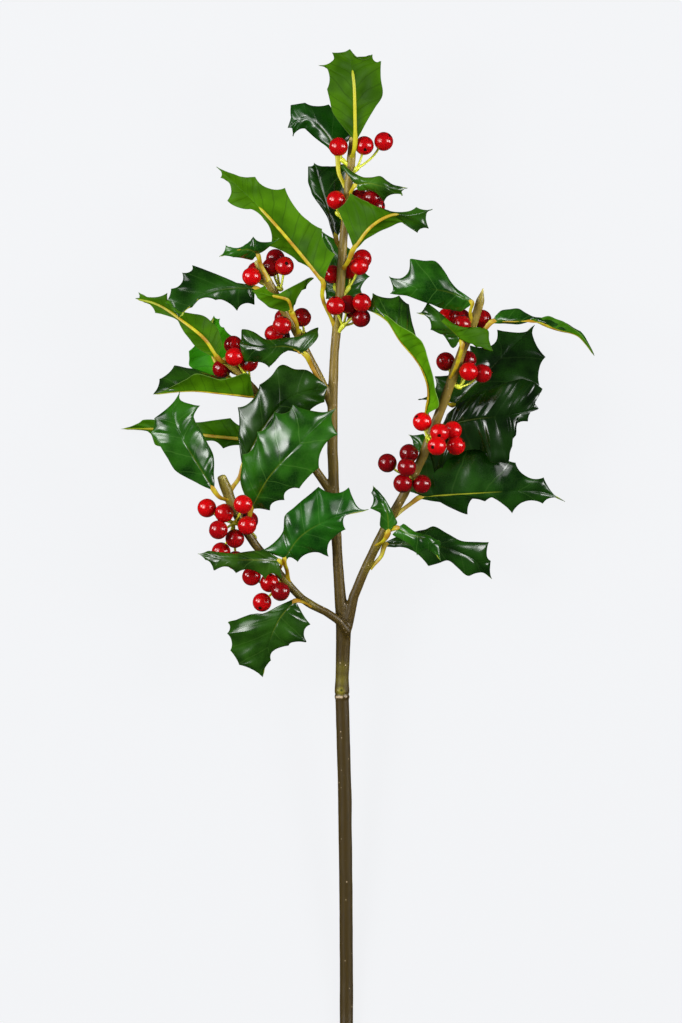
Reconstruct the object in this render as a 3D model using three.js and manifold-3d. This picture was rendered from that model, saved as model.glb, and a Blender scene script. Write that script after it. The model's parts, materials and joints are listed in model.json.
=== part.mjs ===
// A cut sprig of holly: one branched stem with spiny leaves and sprays of red berries.
// It lies down, the way a cut stem is left on a table.
// Millimetres. +Y runs along the stem to its tip, +Z up from the surface at z = 0.
// The origin is on the surface, under the middle of the stem's flat resting spot.

import * as THREE from "three";
import { mergeVertices } from "three/addons/utils/BufferGeometryUtils.js";
import Module from "manifold-3d";

const wasm = await Module();
wasm.setup();

// ---- sizes -------------------------------------------------------------------------------

const BARK_GAP = 0.3; // clearance between the bark and each stalk that springs from it
const BUTT_RADIUS = 3.25; // stem radius at the cut end
const MAIN_SIDES = 12;
const BRANCH_SIDES = 8;
const REST_HEIGHT = BUTT_RADIUS * Math.cos(Math.PI / MAIN_SIDES); // axis height, one facet down

const BLADE = 0.7; // thickness of a leaf blade
const FOOT_WIDTH = 2.6; // leaf stalk, across, where it leaves the branch
const STALK_WIDTH = 2.2; // and halfway up
const STALK_DEPTH = 1.6; // leaf stalk, top to bottom
const STALK_CHANNEL = 0.4; // depth of the groove along the top of the stalk
const BASE_WIDTH = 2.6; // blade where it leaves the stalk
const TIP_WIDTH = 0.7; // the spine that ends the blade
const RIB_DEPTH = 0.9; // how far the midrib stands out under the blade, at its base
const RIB_DEPTH_TIP = 0.15;
const SCALLOP = 0.28; // depth of the bay between two spines, as a share of its width
const VEIN_LEAN = 0.3; // how far the side veins lean towards the tip
const CUP = 0.05; // bulge of each half of the blade, as a share of its width
const WAVE = 0.07; // up and down of neighbouring spines, as a share of the half width

const BERRY_RADIUS = 4.65;
const BERRY_SIDES = 6;
const BERRY_STALK = 0.6; // radius of a berry stalk
const STUB_SIDES = 4; // the short stub that carries them all
const KNOB_RADIUS = 1.8; // swelling where the berry stalks of a spray meet
const ROOT_REACH = 0.9; // from the middle of the knob to where each berry stalk starts
const STALK_SAG = 0.22; // how far a berry stalk sags back along the stem, share of its length
const BERRY_TILT = 0.55; // how far a berry turns from its stalk towards the light

const TOUCH = 0.3; // height of the midrib where a leaf tip meets the surface

// ---- colours -----------------------------------------------------------------------------

const FINISHES = {
  bark: { color: 0x5f5030, roughness: 0.75 },
  leaf: { color: 0x1d5420, roughness: 0.3 },
  berry: { color: 0xc4000f, roughness: 0.2 },
};

// ---- the stem: axis points [x, y, z, radius] ----------------------------------------------

const BRANCHES = {
  main: [
    [0, -8, REST_HEIGHT, BUTT_RADIUS],
    [0, 8, REST_HEIGHT, BUTT_RADIUS],
    [0, 24, 4.2, BUTT_RADIUS],
    [-0.2, 60, 8.4, 3.2],
    [-0.8, 117, 15.4, 3.25],
    [-1.9, 158, 20.8, 3.3],
    [-2.2, 168, 22.2, 3.3],
    [-2.3, 171.5, 22.7, 3.6],
    [-2.2, 178, 23.6, 3.25],
    [-1.7, 194, 26.0, 3.45],
    [-1.5, 202, 27.3, 3.6],
    [-2.6, 211, 28.6, 2.9],
    [-4.4, 237, 32.2, 2.4],
    [-6.0, 267, 36.3, 2.5],
    [-7.0, 292, 39.2, 2.5],
    [-7.0, 317, 41.6, 2.4],
    [-6.0, 342, 43.6, 2.1],
    [-4.5, 357, 44.6, 2.1],
    [-2.8, 377, 45.8, 2.15],
    [-1.7, 397, 46.8, 2.0],
    [0.2, 417, 47.6, 1.8],
    [2.3, 437, 48.4, 2.0],
    [3.1, 449, 48.8, 1.6],
  ],
  right: [
    [-1.8, 197, 26.6, 2.2],
    [0.4, 204, 28.4, 2.6],
    [3.6, 219, 31.2, 2.4],
    [9.6, 233.5, 34.4, 2.2],
    [14.6, 244, 36.6, 2.2],
    [22.0, 258.5, 39.2, 2.2],
    [29.1, 270.9, 41.6, 2.2],
    [38.0, 288.7, 44.6, 2.2],
    [45.2, 307.7, 47.2, 2.3],
    [53.2, 328.9, 50.2, 2.4],
    [57.8, 342.0, 52.2, 2.2],
    [63.4, 355.7, 54.4, 2.1],
    [66.7, 366.5, 56.2, 2.1],
    [68.2, 373.2, 57.2, 1.1],
  ],
  lowerLeft: [
    [-1.2, 198, 26.8, 1.8],
    [0.4, 201.5, 31.0, 2.0],
    [-4.5, 207.5, 34.6, 2.0],
    [-10.5, 211.4, 36.0, 1.9],
    [-17.0, 214.6, 37.2, 1.9],
    [-22.5, 218.2, 38.2, 1.9],
    [-28.5, 224.5, 39.4, 1.9],
    [-37.0, 234.6, 41.4, 2.0],
    [-45.6, 245.0, 43.4, 2.1],
    [-52.5, 255.5, 45.4, 2.2],
    [-57.2, 265.5, 47.0, 2.5],
    [-61.0, 275.0, 48.4, 2.6],
    [-62.6, 279.6, 49.2, 2.2],
  ],
  midLeft: [
    [-6.4, 268, 36.4, 1.8],
    [-9.6, 274.2, 37.0, 2.2],
    [-15.2, 282.2, 37.8, 2.0],
    [-26.0, 297.5, 38.6, 1.9],
    [-40.0, 315.5, 39.4, 1.9],
    [-53.3, 330.7, 40.2, 1.9],
    [-61.8, 338.3, 40.8, 1.7],
  ],
  upperLeft: [
    [-6.9, 312, 41.2, 1.7],
    [-9.2, 319.5, 42.4, 2.1],
    [-13.6, 329.0, 44.0, 2.0],
    [-18.2, 338.0, 45.4, 2.0],
    [-25.2, 352.0, 47.6, 2.0],
    [-31.4, 362.2, 49.4, 2.0],
    [-37.2, 373.4, 51.4, 2.0],
    [-41.6, 381.0, 52.8, 1.9],
    [-45.2, 387.0, 53.6, 1.3],
  ],
};

// ---- the leaves ---------------------------------------------------------------------------
// on, foot: the branch a leaf springs from and the place on it, [x, y].
// rib: the midrib from the base of the blade to its tip, [x, y, z].
// left, right: the points of the edge from base to tip, seen from above, [x, y]; a third
//   number is the depth of the bay before that point when it isn't SCALLOP (0 is straight).
// bays: the depths of the last bays, between the last points and the tip, left and right.
//   A depth may be the place of the bottom of the bay instead, [x, y].
// via: a point that the stalk passes through.
// slope: how each half rises (+) or falls from the rib, degrees: left at base and at tip,
//   then right. under: true where the underside of the leaf faces up.

const LEAVES = {
  leaf_top: {
    on: "main", foot: [2.6, 439.5], under: true,
    rib: [[4.4, 448, 58], [4.2, 460, 61], [3.7, 475, 63], [1.5, 492, 60]],
    left: [[-6.9, 461, -0.04], [-9.7, 472.6, 0], [-13.9, 484.4, [-9.2, 481.8]],
      [-7.2, 490.8, [-6.8, 486.8]]],
    right: [[10.5, 457, 0], [18, 469.6, 0], [17.3, 486.6, 0.03], [13, 489.7, [14.2, 486.4]]],
    slope: [-18, -10, -22, -16], bays: [0.14, [7.2, 487]],
  },
  leaf_top_left: {
    on: "main", foot: [-0.3, 425],
    rib: [[-4.6, 440, 46], [-10, 451, 43], [-20, 459, 40], [-29.2, 454.4, 35]],
    left: [[-9.5, 444, 0], [-16.5, 449.6, 0], [-21, 453.6, 0], [-27, 450, [-24.2, 453]]],
    right: [[3, 451, 0], [-9, 465.6, 0], [-20.8, 466.7, 0.12], [-28, 465.8, 0]],
    slope: [-30, -20, -20, -25], bays: [[-27, 453.8], [-27.1, 461]],
  },
  leaf_crown_back: {
    on: "main", foot: [-2.2, 394],
    rib: [[-5.4, 399.5, 42], [-9, 412, 38], [-13, 425, 34], [-16.2, 436.6, 30]],
    left: [[-9.4, 408.8, 0], [-17, 420.6, 0], [-19.3, 427, 0], [-19.1, 434.8, 0]],
    right: [[0, 408, 0], [1.5, 419, 0], [0, 435.4, 0], [-8.6, 435.2, 0.1]],
    slope: [-25, -15, -15, -15], bays: [0.25, 0.2],
  },
  leaf_crown_right: {
    on: "main", foot: [1.0, 420.5],
    rib: [[4.8, 425, 55], [11, 425.6, 58], [20, 423.6, 58], [30.2, 423.4, 54]],
    left: [[-2.4, 434.6, 0], [7.8, 428.6, 0.02], [16.8, 429.2, 0.05], [23.4, 424.8, 0]],
    right: [[6, 422.4, 0], [11.4, 421.8, 0], [18.7, 416.4, 0.2], [28.2, 419.6, [22.4, 419.8]]],
    slope: [-20, -30, -30, -30], bays: [0.02, [27.6, 421.6]],
  },
  leaf_front: {
    on: "main", foot: [-0.6, 383.5], under: true,
    rib: [[4, 393.5, 60], [12, 403.6, 64], [22, 409.4, 64], [33, 409.6, 60], [42.6, 412.6, 54]],
    left: [[-4.5, 412.9, 0.03], [1.8, 420.7, 0.12], [11, 415.8, 0.03], [20.5, 411.6, 0],
      [35, 413.8, 0.15]],
    right: [[9, 397, 0], [17, 402, 0], [27, 406, 0], [35.5, 401], [41.1, 403]],
    slope: [-8, -25, -50, -25], bays: [0.1, 0.45],
  },
  leaf_behind: {
    on: "main", foot: [-4.1, 360],
    rib: [[-2.4, 366.6, 31], [-2.8, 378, 28], [-6, 390, 25], [-12.3, 402.6, 22]],
    left: [[-10.6, 368.6, 0.1], [-12.6, 377, 0.1], [-13.6, 386], [-13, 395]],
    right: [[8.3, 370.3], [12, 379.9], [3, 392.6, 0.1], [-4, 397.8, 0]],
    slope: [-15, -10, -15, -10], bays: [0.1, 0.05],
  },
  leaf_long: {
    on: "main", foot: [-6, 356], under: true, via: [-12.2, 369.6, 53],
    rib: [[-12, 377, 57], [-20, 386.8, 60], [-34, 403.3, 61], [-47, 417.2, 57], [-64.8, 434, 46]],
    left: [[-17.5, 382.2, 0], [-24.4, 386.4, 0.1], [-38.4, 394.2, 0.12], [-41, 407.4, 0.2],
      [-48, 412.8, 0.1], [-59.6, 417.2, -0.12], [-63, 428.5, 0.35]],
    right: [[-5.6, 390.4, 0.1], [-12.2, 402.9, 0.18], [-19, 406.9, 0.05], [-30.7, 423.4, 0.08],
      [-45.6, 428.9, 0.2], [-50, 428.8, 0], [-56, 430.4, 0.05]],
    slope: [-55, -15, -10, -15], bays: [0.3, 0.03],
  },
  leaf_tip_upper_left: {
    on: "upperLeft", foot: [-40, 378], via: [-43, 385.6, 57],
    rib: [[-44.6, 390.2, 61], [-48.4, 392.2, 65], [-55, 391.4, 66], [-63.2, 389, 62]],
    left: [[-47, 387.6, 0], [-51.5, 388.2, 0], [-56.5, 388.4, 0]],
    right: [[-33.4, 397.8, 0.06], [-46.5, 398.8, 0.25], [-60.3, 394.6, 0.3]],
    slope: [-40, -35, 5, -30], bays: [0.1, 0.15],
  },
  leaf_left_dark: {
    on: "upperLeft", foot: [-36.8, 373],
    rib: [[-45.6, 373.4, 52], [-58, 373.2, 55], [-72, 369.6, 59], [-83.5, 358.8, 61]],
    left: [[-46.2, 365.2, 0.1], [-54.7, 362.2, 0.25], [-65.4, 367.3, 0.2], [-77, 363.6],
      [-81.5, 362.3, 0]],
    right: [[-59, 376.8, 0], [-77.2, 384.7, 0], [-82.2, 381.2], [-87.6, 372.9],
      [-90.4, 366, 0.1]],
    slope: [-15, -20, -10, -15], bays: [0.1, 0.1],
  },
  leaf_hood: {
    on: "upperLeft", foot: [-24.8, 351.6], under: true,
    rib: [[-27.6, 362.2, 58], [-29.2, 367.2, 62], [-37, 369.2, 64], [-46.8, 371.8, 60]],
    left: [[-31, 361.6, 0], [-38.4, 363.4, 0], [-44.4, 368.2, 0]],
    right: [[-16, 378.2, [-23, 372.6]], [-33.6, 370.2, [-22.4, 376.6]], [-41, 374.6, 0.2]],
    slope: [-30, -30, -35, -30], bays: [0.05, 0.05],
  },
  leaf_left_lower: {
    on: "upperLeft", foot: [-12.6, 327], via: [-17.6, 334.6, 48.6],
    rib: [[-21.6, 341, 53], [-30, 344.2, 57], [-42, 343.4, 57], [-53.2, 345.4, 52]],
    left: [[-20, 340.2, 0], [-28.5, 342.6, 0], [-38.9, 333.8, [-34.6, 340.8]],
      [-44.5, 336.4, 0.15], [-50.8, 337.2, 0]],
    right: [[-14.2, 349.2, -0.22], [-14.4, 353.9, 0], [-28, 348.6, 0.15], [-40, 347.8, 0],
      [-52, 352.6, -0.08]],
    slope: [-25, -35, -25, -20], bays: [0, 0.1],
  },
  leaf_far_left: {
    on: "midLeft", foot: [-60, 336.8], under: true,
    rib: [[-65.2, 339.4, 50], [-71, 348, 54], [-80.5, 355.8, 53], [-94, 365, 46],
      [-105.4, 368.5, 38]],
    left: [[-69, 340.1, 0], [-76, 344.6, -0.05], [-81.3, 351.6, 0], [-84.6, 357.4, 0],
      [-95.6, 361, 0.05], [-101, 366.2, 0.15]],
    right: [[-62.4, 345, 0], [-64.6, 353.5, -0.05], [-71.3, 359.4, -0.05], [-82, 361.6, 0],
      [-89.8, 371.2], [-104.6, 371.5, [-97, 369]]],
    slope: [-20, -20, -25, -25], bays: [0.05, [-103.6, 369.4]],
  },
  leaf_pale: {
    on: "midLeft", foot: [-46, 322.2], under: true, via: [-52, 324, 29.6],
    rib: [[-59.5, 329, 25], [-66, 337, 22], [-69, 348, 20], [-66.8, 360, 17]],
    left: [[-66, 327, 0], [-79, 335, 0.02], [-79.4, 342.6, 0], [-74.6, 352]],
    right: [[-60.5, 337, 0], [-57.2, 350, 0.2], [-61.6, 354.4, 0.1], [-63.6, 359]],
    slope: [-10, -10, -10, -10], bays: [0.1, 0.2],
  },
  leaf_left_folded: {
    on: "midLeft", foot: [-39.4, 314.8],
    rib: [[-45.6, 319.4, 43], [-62, 321.1, 48], [-76, 322.3, 50], [-87, 321.7, 48],
      [-96.6, 320.6, 43]],
    left: [[-49.4, 330.8, 0.03], [-63, 327.8, 0.05], [-75, 330.7, 0], [-84, 326, 0]],
    right: [[-57, 326, 0], [-75, 333, 0], [-86.2, 334.6, 0.05], [-93.6, 328, 0.12]],
    slope: [35, 40, -45, -40], bays: [0.1, 0.15],
  },
  leaf_low_left_gloss: {
    on: "lowerLeft", foot: [-58.6, 268.4],
    rib: [[-67, 273.6, 56], [-75, 286.5, 60], [-81.6, 298, 62], [-86, 309, 60], [-83.4, 321.4, 54]],
    left: [[-74.5, 276, 0], [-86, 282.8, -0.04], [-93, 294.5, 0], [-97.6, 301.2, 0],
      [-95.8, 308, 0.15]],
    right: [[-66.2, 281, 0], [-67, 291, -0.05], [-72.6, 302, 0], [-76.4, 309, 0.05],
      [-73.1, 314.6, 0.15]],
    slope: [-8, -12, -22, -18], bays: [0.15, 0.36],
  },
  leaf_low_left_flat: {
    on: "midLeft", foot: [-30, 302.5], under: true,
    rib: [[-46, 297.6, 33], [-60, 298.8, 31], [-80, 301, 25], [-97, 303.4, 14],
      [-113.6, 303.6, TOUCH]],
    left: [[-50, 294, 0], [-62, 293.4, 0.12], [-80, 292.6], [-95.8, 295.2, 0], [-99, 301.8, 0]],
    right: [[-48, 303, 0], [-58.4, 308.7, 0.1], [-75, 306.6, 0], [-102.4, 308, 0],
      [-107, 305.6, 0.05]],
    slope: [-15, -5, -15, -5], bays: [0.05, 0.05],
  },
  leaf_heart_back: {
    on: "lowerLeft", foot: [-58.6, 273], via: [-53.6, 278.6, 50],
    rib: [[-51.3, 285.6, 51], [-42, 303, 54], [-28.5, 318.5, 53], [-9.9, 324, 50]],
    left: [[-54.2, 300, 0], [-54.3, 313.8, 0.1], [-43.6, 325.2, 0.18], [-32.6, 334.8, 0.05],
      [-19.6, 332.5, 0.05]],
    right: [[-46, 288, 0], [-38, 296.5, 0], [-28, 305.5, 0], [-19, 311, 0],
      [-11, 316.4, 0.1]],
    slope: [-8, -8, -12, -12], bays: [-0.04, 0.05],
  },
  leaf_heart_front: {
    on: "lowerLeft", foot: [-51.2, 253.4], via: [-48.6, 258.6, 48],
    rib: [[-47.4, 263.6, 50], [-39, 278.4, 60], [-25, 294, 66], [-5.6, 313, 60]],
    left: [[-52.6, 276.5, 0.03], [-51.9, 290.4, 0], [-44.8, 301.6, 0.2], [-36, 311.5, 0.2],
      [-26.8, 315.3]],
    right: [[-38.2, 262.6, 0.12], [-31, 267.8], [-23.5, 273.2], [-13.8, 283.6, 0.05],
      [-4.4, 300.2, 0.18]],
    slope: [-8, -10, -10, -12], bays: [0.18, 0.2],
  },
  leaf_wave_right: {
    on: "lowerLeft", foot: [-30.6, 227], via: [-29.8, 232, 44.6],
    rib: [[-30.9, 238.4, 50], [-22.6, 249.6, 55], [-7, 258.4, 55], [10.8, 262.7, 49]],
    left: [[-42.4, 242.4, 0.02], [-31.4, 252.6, 0.1], [-30.4, 260, 0], [-22, 267.4, 0],
      [-14, 274, 0], [1, 273.6, 0.2]],
    right: [[-29, 238.8, 0], [-24.4, 236.4, 0.2], [-9, 239.3, [-17, 241.1]], [-7, 248.4, 0.2],
      [-0.3, 252.8, 0.05], [1.4, 260.6, 0.35]],
    slope: [-12, -15, -30, -20], bays: [0.3, 0.1],
  },
  leaf_wave_left: {
    on: "lowerLeft", foot: [-35, 232.4],
    rib: [[-34, 237.2, 52.6], [-46, 237.6, 57], [-60, 238, 58], [-74, 240.6, 52]],
    left: [[-32.6, 228.2, 0.02], [-40.6, 227.4, 0.4], [-55.2, 231, 0.25], [-66, 232.6],
      [-70.4, 237.6, 0.2]],
    right: [[-40.6, 242.2, 0], [-48, 241.6, 0], [-56, 240.6, 0], [-63, 241.4, 0],
      [-69, 242, 0]],
    slope: [-20, -20, -25, -25], bays: [0.05, 0.05],
  },
  leaf_lowest: {
    on: "lowerLeft", foot: [-19.4, 214.6],
    rib: [[-26, 217, 46], [-33.6, 208, 46], [-39.2, 194.6, 42], [-42, 179, 36]],
    left: [[-22.4, 211.4, 0], [-18.3, 205.3, 0.05], [-20.2, 196.6], [-29.2, 195, 0.28],
      [-37.8, 187, 0.3]],
    right: [[-42, 210.6, 0], [-59.6, 206, 0.03], [-59.9, 200.6, 0.2], [-58.4, 192, 0.15],
      [-53.8, 184.8, 0.05]],
    slope: [-18, -15, -15, -10], bays: [0.2, 0.12],
  },
  leaf_right_top: {
    on: "right", foot: [64.2, 357], via: [61.8, 361.6, 59.6],
    rib: [[62.6, 366, 62], [51, 371, 67], [36, 372.8, 68], [22, 370.4, 63]],
    left: [[56.6, 361.4, -0.1], [47, 363.6, 0], [39.2, 366.2, 0.05], [30, 369.2, 0]],
    right: [[55.2, 372.8, 0], [44.8, 386.2, 0.14], [31.8, 387.4, 0], [21, 379, 0.36]],
    slope: [-40, -35, -12, -12], bays: [0, 0.3],
  },
  leaf_right_hood: {
    on: "right", foot: [53.4, 329.5],
    rib: [[57, 347.6, 62], [50, 354.2, 66], [44, 358.6, 66], [35.2, 360.8, 62]],
    left: [[53, 343.4, 0], [48.4, 350, 0], [41.7, 352.2, 0], [40.4, 358.6, 0.2]],
    right: [[73, 341.8, [66.4, 347.2]], [70.2, 352.4, 0.05], [54, 355, 0.1], [40, 366.4, 0]],
    slope: [-25, -30, -12, -22], bays: [0.1, 0.3],
  },
  leaf_right_long: {
    on: "right", foot: [60.6, 349],
    rib: [[73.6, 357, 55], [84, 357, 59], [94, 356.8, 59], [105, 352.8, 52], [116, 349.8, 44],
      [124.4, 340, 34]],
    left: [[77.6, 362.2, -0.1], [86, 363, 0], [93, 359, 0], [101, 357.6, 0], [110, 355.6, 0],
      [117.4, 352.2, 0.05]],
    right: [[78, 355.6, 0], [86, 355, 0], [93, 357.2, 0], [101, 359.4, -0.03],
      [109, 356.4, 0], [117, 350.8, 0]],
    slope: [-30, -60, -60, 45], bays: [-0.08, -0.04],
  },
  leaf_right_back: {
    on: "right", foot: [48.6, 317], via: [50.4, 316.4, 41],
    rib: [[54, 315.5, 33], [66, 327, 27], [80, 341, 16], [95, 356, TOUCH]],
    left: [[35.7, 318], [44.4, 329.4], [62, 345], [76, 353.4]],
    right: [[67, 313, 0], [84, 318, 0], [97.2, 325.4, 0], [100.4, 339.6, 0.1]],
    slope: [-6, -6, -6, -6], bays: [0.22, 0.2],
  },
  leaf_right_big: {
    on: "right", foot: [43.6, 303.4],
    rib: [[48.6, 304.6, 41], [64, 308, 44], [80, 309.8, 45], [95.9, 313.2, 41]],
    left: [[50.5, 310.6, 0], [57, 316.4, 0], [64, 320.6, 0], [72, 324, 0], [80, 326.4, 0],
      [88, 328.4, 0], [94, 326.6, 0], [98.2, 323.2, 0]],
    right: [[41.8, 291.6, 0], [44, 280.8, 0], [47.8, 283, 0.3], [67.6, 292.4, [56, 291]],
      [72.5, 286.4, 0.1], [80.8, 286.4, 0], [83, 294.4, 0.1], [90.9, 306.8, [81.4, 303.8]]],
    slope: [-8, -8, -3, -10], bays: [[93.8, 318.4], [88, 310.4]],
  },
  leaf_right_low: {
    on: "right", foot: [24.2, 260.4], via: [31.6, 265.2, 35.6],
    rib: [[37.6, 269.2, 35], [53, 270.2, 36], [70, 271.2, 36], [90, 272.2, 34],
      [101, 270.8, 31], [109.6, 266.8, 28]],
    left: [[30.4, 273, -0.05], [42, 293, -0.05], [64, 296, 0], [85, 286.4, 0.06],
      [99, 278.9, 0.25]],
    right: [[48.8, 266.2, 0], [60.8, 260.4, 0.05], [69.6, 266.9, [63.4, 268.4]],
      [83.2, 260.8, [73.4, 269]], [98.6, 265.6, [89.8, 267]]],
    slope: [-5, -8, -25, -20], bays: [0.15, 0.42],
  },
  leaf_twisted: {
    on: "right", foot: [42.6, 300.6],
    rib: [[39.8, 309.6, 47.6], [41.4, 322, 54], [36.8, 335, 60], [26.6, 347.6, 62],
      [19, 358.6, 60], [8.6, 363, 52.6]],
    left: [[46, 314.6, -0.05], [43.4, 328.6, 0], [39.7, 339, 0], [37.2, 346.4, -0.05],
      [32.4, 350.8, 0], [20, 359.8, 0.05]],
    right: [[42.6, 320.6, 0], [40.1, 333.6, 0], [34.2, 350.6, 0], [31.2, 365.4, 0.08],
      [26.4, 370, 0.12], [13.2, 371, 0.2]],
    slope: [40, 35, -30, -30], bays: [0, 0.25],
  },
  leaf_fork_left: {
    on: "right", foot: [16, 245.4],
    rib: [[21, 252.4, 47], [20.4, 260.5, 50], [17.4, 268, 50], [13.4, 274.4, 47]],
    left: [[17, 254.6, 0], [17, 261, 0], [12, 263.4, 0.05], [12.4, 271, 0.2]],
    right: [[25.4, 256, 0], [22.8, 262, 0], [18.8, 268.5, 0], [15.8, 272.2, 0]],
    slope: [-15, -15, -20, -20], bays: [0.1, 0],
  },
  leaf_fork_right: {
    on: "right", foot: [19.8, 252],
    rib: [[26, 253.4, 49], [32, 250, 52], [40, 247.6, 54], [46.8, 237.6, 53]],
    left: [[28.6, 255.6, 0], [34.6, 251.6, 0], [41.4, 249.6, 0], [46.9, 246.6, 0]],
    right: [[23, 250.2, 0], [30, 246.2, 0], [35.2, 239.6, 0.1], [41.4, 242, 0.4]],
    slope: [-20, -30, -20, -30], bays: [0.05, 0.1],
  },
  leaf_right_lowest: {
    on: "right", foot: [11.6, 234.6], via: [17.4, 239.4, 35.4],
    rib: [[20, 245.4, 36], [34, 245.4, 39], [50, 243.6, 40], [63, 238, 36], [72.9, 228, 28]],
    left: [[26, 249.2, 0], [36, 251.8, 0], [43.8, 254.3, 0.05], [57, 247, 0], [71.4, 246.4, 0.03],
      [72.2, 237, 0.25]],
    right: [[24.5, 243.8, 0], [32, 242.4, 0.1], [41.2, 234.6, 0.1], [51, 237.3, 0],
      [60.7, 229.6, 0], [68, 231.2, 0.05]],
    slope: [-20, -15, -20, -15], bays: [0.1, 0.05],
  },
  leaf_small: {
    on: "right", foot: [39.4, 291],
    rib: [[38.4, 291.6, 36], [38, 294, 35], [35.6, 298, 33], [31.5, 300.2, 31]],
    left: [[34.4, 291.6, 0], [33.4, 296.2, 0]],
    right: [[41.6, 295.6, 0], [38.6, 300.6, 0]],
    slope: [-20, -20, -20, -20], bays: [0.1, 0.1],
  },
};

// ---- the berry sprays ---------------------------------------------------------------------
// on, foot: the branch and the place on it. knob: where the berry stalks meet, [x, y, z].
// berries: their centres, [x, y, z], from the hindmost to the foremost.

const SPRAYS = {
  berries_top: {
    on: "main", foot: [2, 432], knob: [5.2, 433.2, 50],
    berries: [[8.9, 444.6, 53], [18.6, 446.7, 52]],
  },
  berries_top_left: {
    on: "main", foot: [1.6, 435.5], knob: [-2, 437.4, 49.8],
    berries: [[-4, 444, 54]],
  },
  berries_crown: {
    on: "main", foot: [-0.3, 410], knob: [2.8, 411.4, 46],
    berries: [[6.4, 418.5, 44], [14.6, 414.6, 41.4], [13, 418.4, 50.4]],
  },
  berries_crown_left: {
    on: "main", foot: [-0.9, 409], knob: [-4.4, 410.8, 48.6],
    berries: [[-5.2, 417.4, 52]],
  },
  berries_upper: {
    on: "main", foot: [-2.6, 371], knob: [0.9, 373.6, 44.6],
    berries: [[1.8, 383, 36], [7.9, 388.4, 41.3], [6.4, 384.6, 50.2]],
  },
  berries_upper_left: {
    on: "main", foot: [-3.2, 372], knob: [-5.6, 373.8, 43],
    berries: [[-7, 380.6, 40]],
  },
  berries_middle: {
    on: "main", foot: [-4.6, 353], knob: [-1.6, 354.8, 47.4],
    berries: [[3.6, 362.6, 42.2], [0.6, 365.3, 51], [7.2, 358.6, 50.4], [7.6, 366, 57.8],
      [-5.4, 364.4, 58.6]],
  },
  berries_tip_left: {
    on: "upperLeft", foot: [-36.6, 372.2], knob: [-33, 373, 49.6],
    berries: [[-35.6, 388.6, 39.6], [-37.6, 384, 48], [-31, 384.4, 55]],
  },
  berries_tip_left_low: {
    on: "upperLeft", foot: [-38.8, 376], knob: [-42.6, 376.6, 50.4],
    berries: [[-45, 382, 45.2], [-47.4, 379.2, 54.2]],
  },
  berries_left_inner: {
    on: "upperLeft", foot: [-24.6, 350.5], knob: [-20.8, 350.4, 45.4],
    berries: [[-22.4, 359, 43]],
  },
  berries_left_outer: {
    on: "upperLeft", foot: [-27, 354.5], knob: [-30, 353.8, 45.2],
    berries: [[-31.4, 358.6, 39], [-33, 349.4, 40], [-36.3, 350.4, 49], [-32.2, 354.6, 56.6]],
  },
  berries_far_left: {
    on: "midLeft", foot: [-51, 328], knob: [-48.6, 328.6, 43.6],
    berries: [[-49, 336.4, 43], [-56.8, 345.2, 38.6], [-56, 339.2, 49]],
  },
  berries_far_left_behind: {
    on: "midLeft", foot: [-50.6, 327.6], knob: [-53.4, 326.4, 36],
    berries: [[-55, 335, 28.4], [-62.6, 333.4, 33.8]],
  },
  berries_low_left: {
    on: "lowerLeft", foot: [-53.4, 256.8], knob: [-56.4, 256, 49.6],
    berries: [[-55.6, 237.2, 37.5], [-62.8, 241.6, 43], [-55.8, 248.2, 50], [-69.8, 263.5, 50],
      [-61.1, 261, 54.4], [-49.7, 254.8, 53.6], [-64, 252.6, 57], [-51.6, 265.4, 62]],
  },
  berries_low_left_behind: {
    on: "lowerLeft", foot: [-50.4, 252.6], knob: [-46.2, 248.8, 40],
    berries: [[-49, 257.2, 38.6]],
  },
  berries_lowest: {
    on: "lowerLeft", foot: [-31.2, 228], knob: [-35.4, 223.6, 40],
    berries: [[-47.6, 229.3, 41], [-38.6, 226, 42], [-42.3, 216.3, 41], [-33, 221.7, 49.6]],
  },
  berries_right_top: {
    on: "right", foot: [61.8, 352], knob: [57.8, 352.8, 51.4],
    berries: [[67.8, 358, 47.4], [50.4, 359, 45.5], [57, 358.8, 49], [57.4, 355.2, 58]],
  },
  berries_right_upper: {
    on: "right", foot: [52, 325.6], knob: [56.4, 324, 49.6],
    berries: [[49.6, 336.8, 45.6], [60.4, 337.6, 44.6], [67.9, 330.8, 50], [61, 331.7, 55]],
  },
  berries_right_mid: {
    on: "right", foot: [41.4, 297.4], knob: [40.6, 299.2, 52],
    berries: [[37.8, 306.6, 56], [53, 302.2, 52], [54.6, 294.6, 56.2], [46.4, 301, 60],
      [45, 294.4, 67]],
  },
  berries_right_low: {
    on: "right", foot: [32, 276.4], knob: [30.6, 279.8, 47.4],
    berries: [[20.4, 286, 50], [31.2, 290.8, 50], [37.6, 275.5, 50], [28.1, 275.8, 52.2],
      [30.1, 283.9, 57]],
  },
};

// ---- geometry helpers ---------------------------------------------------------------------

const UP = new THREE.Vector3(0, 0, 1);
const vec = (p) => new THREE.Vector3(p[0], p[1], p[2]);
const radians = (degrees) => (degrees * Math.PI) / 180;
const mix = (a, b, t) => a + (b - a) * t;
const between = (a, b, t) => a.clone().lerp(b, t);
const step = (origin, direction, distance) => origin.clone().addScaledVector(direction, distance);
const planDistance = (a, b) => Math.hypot(a.x - b.x, a.y - b.y);

function perpendicular(direction, axis) {
  return direction.clone().addScaledVector(axis, -direction.dot(axis)).normalize();
}

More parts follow.
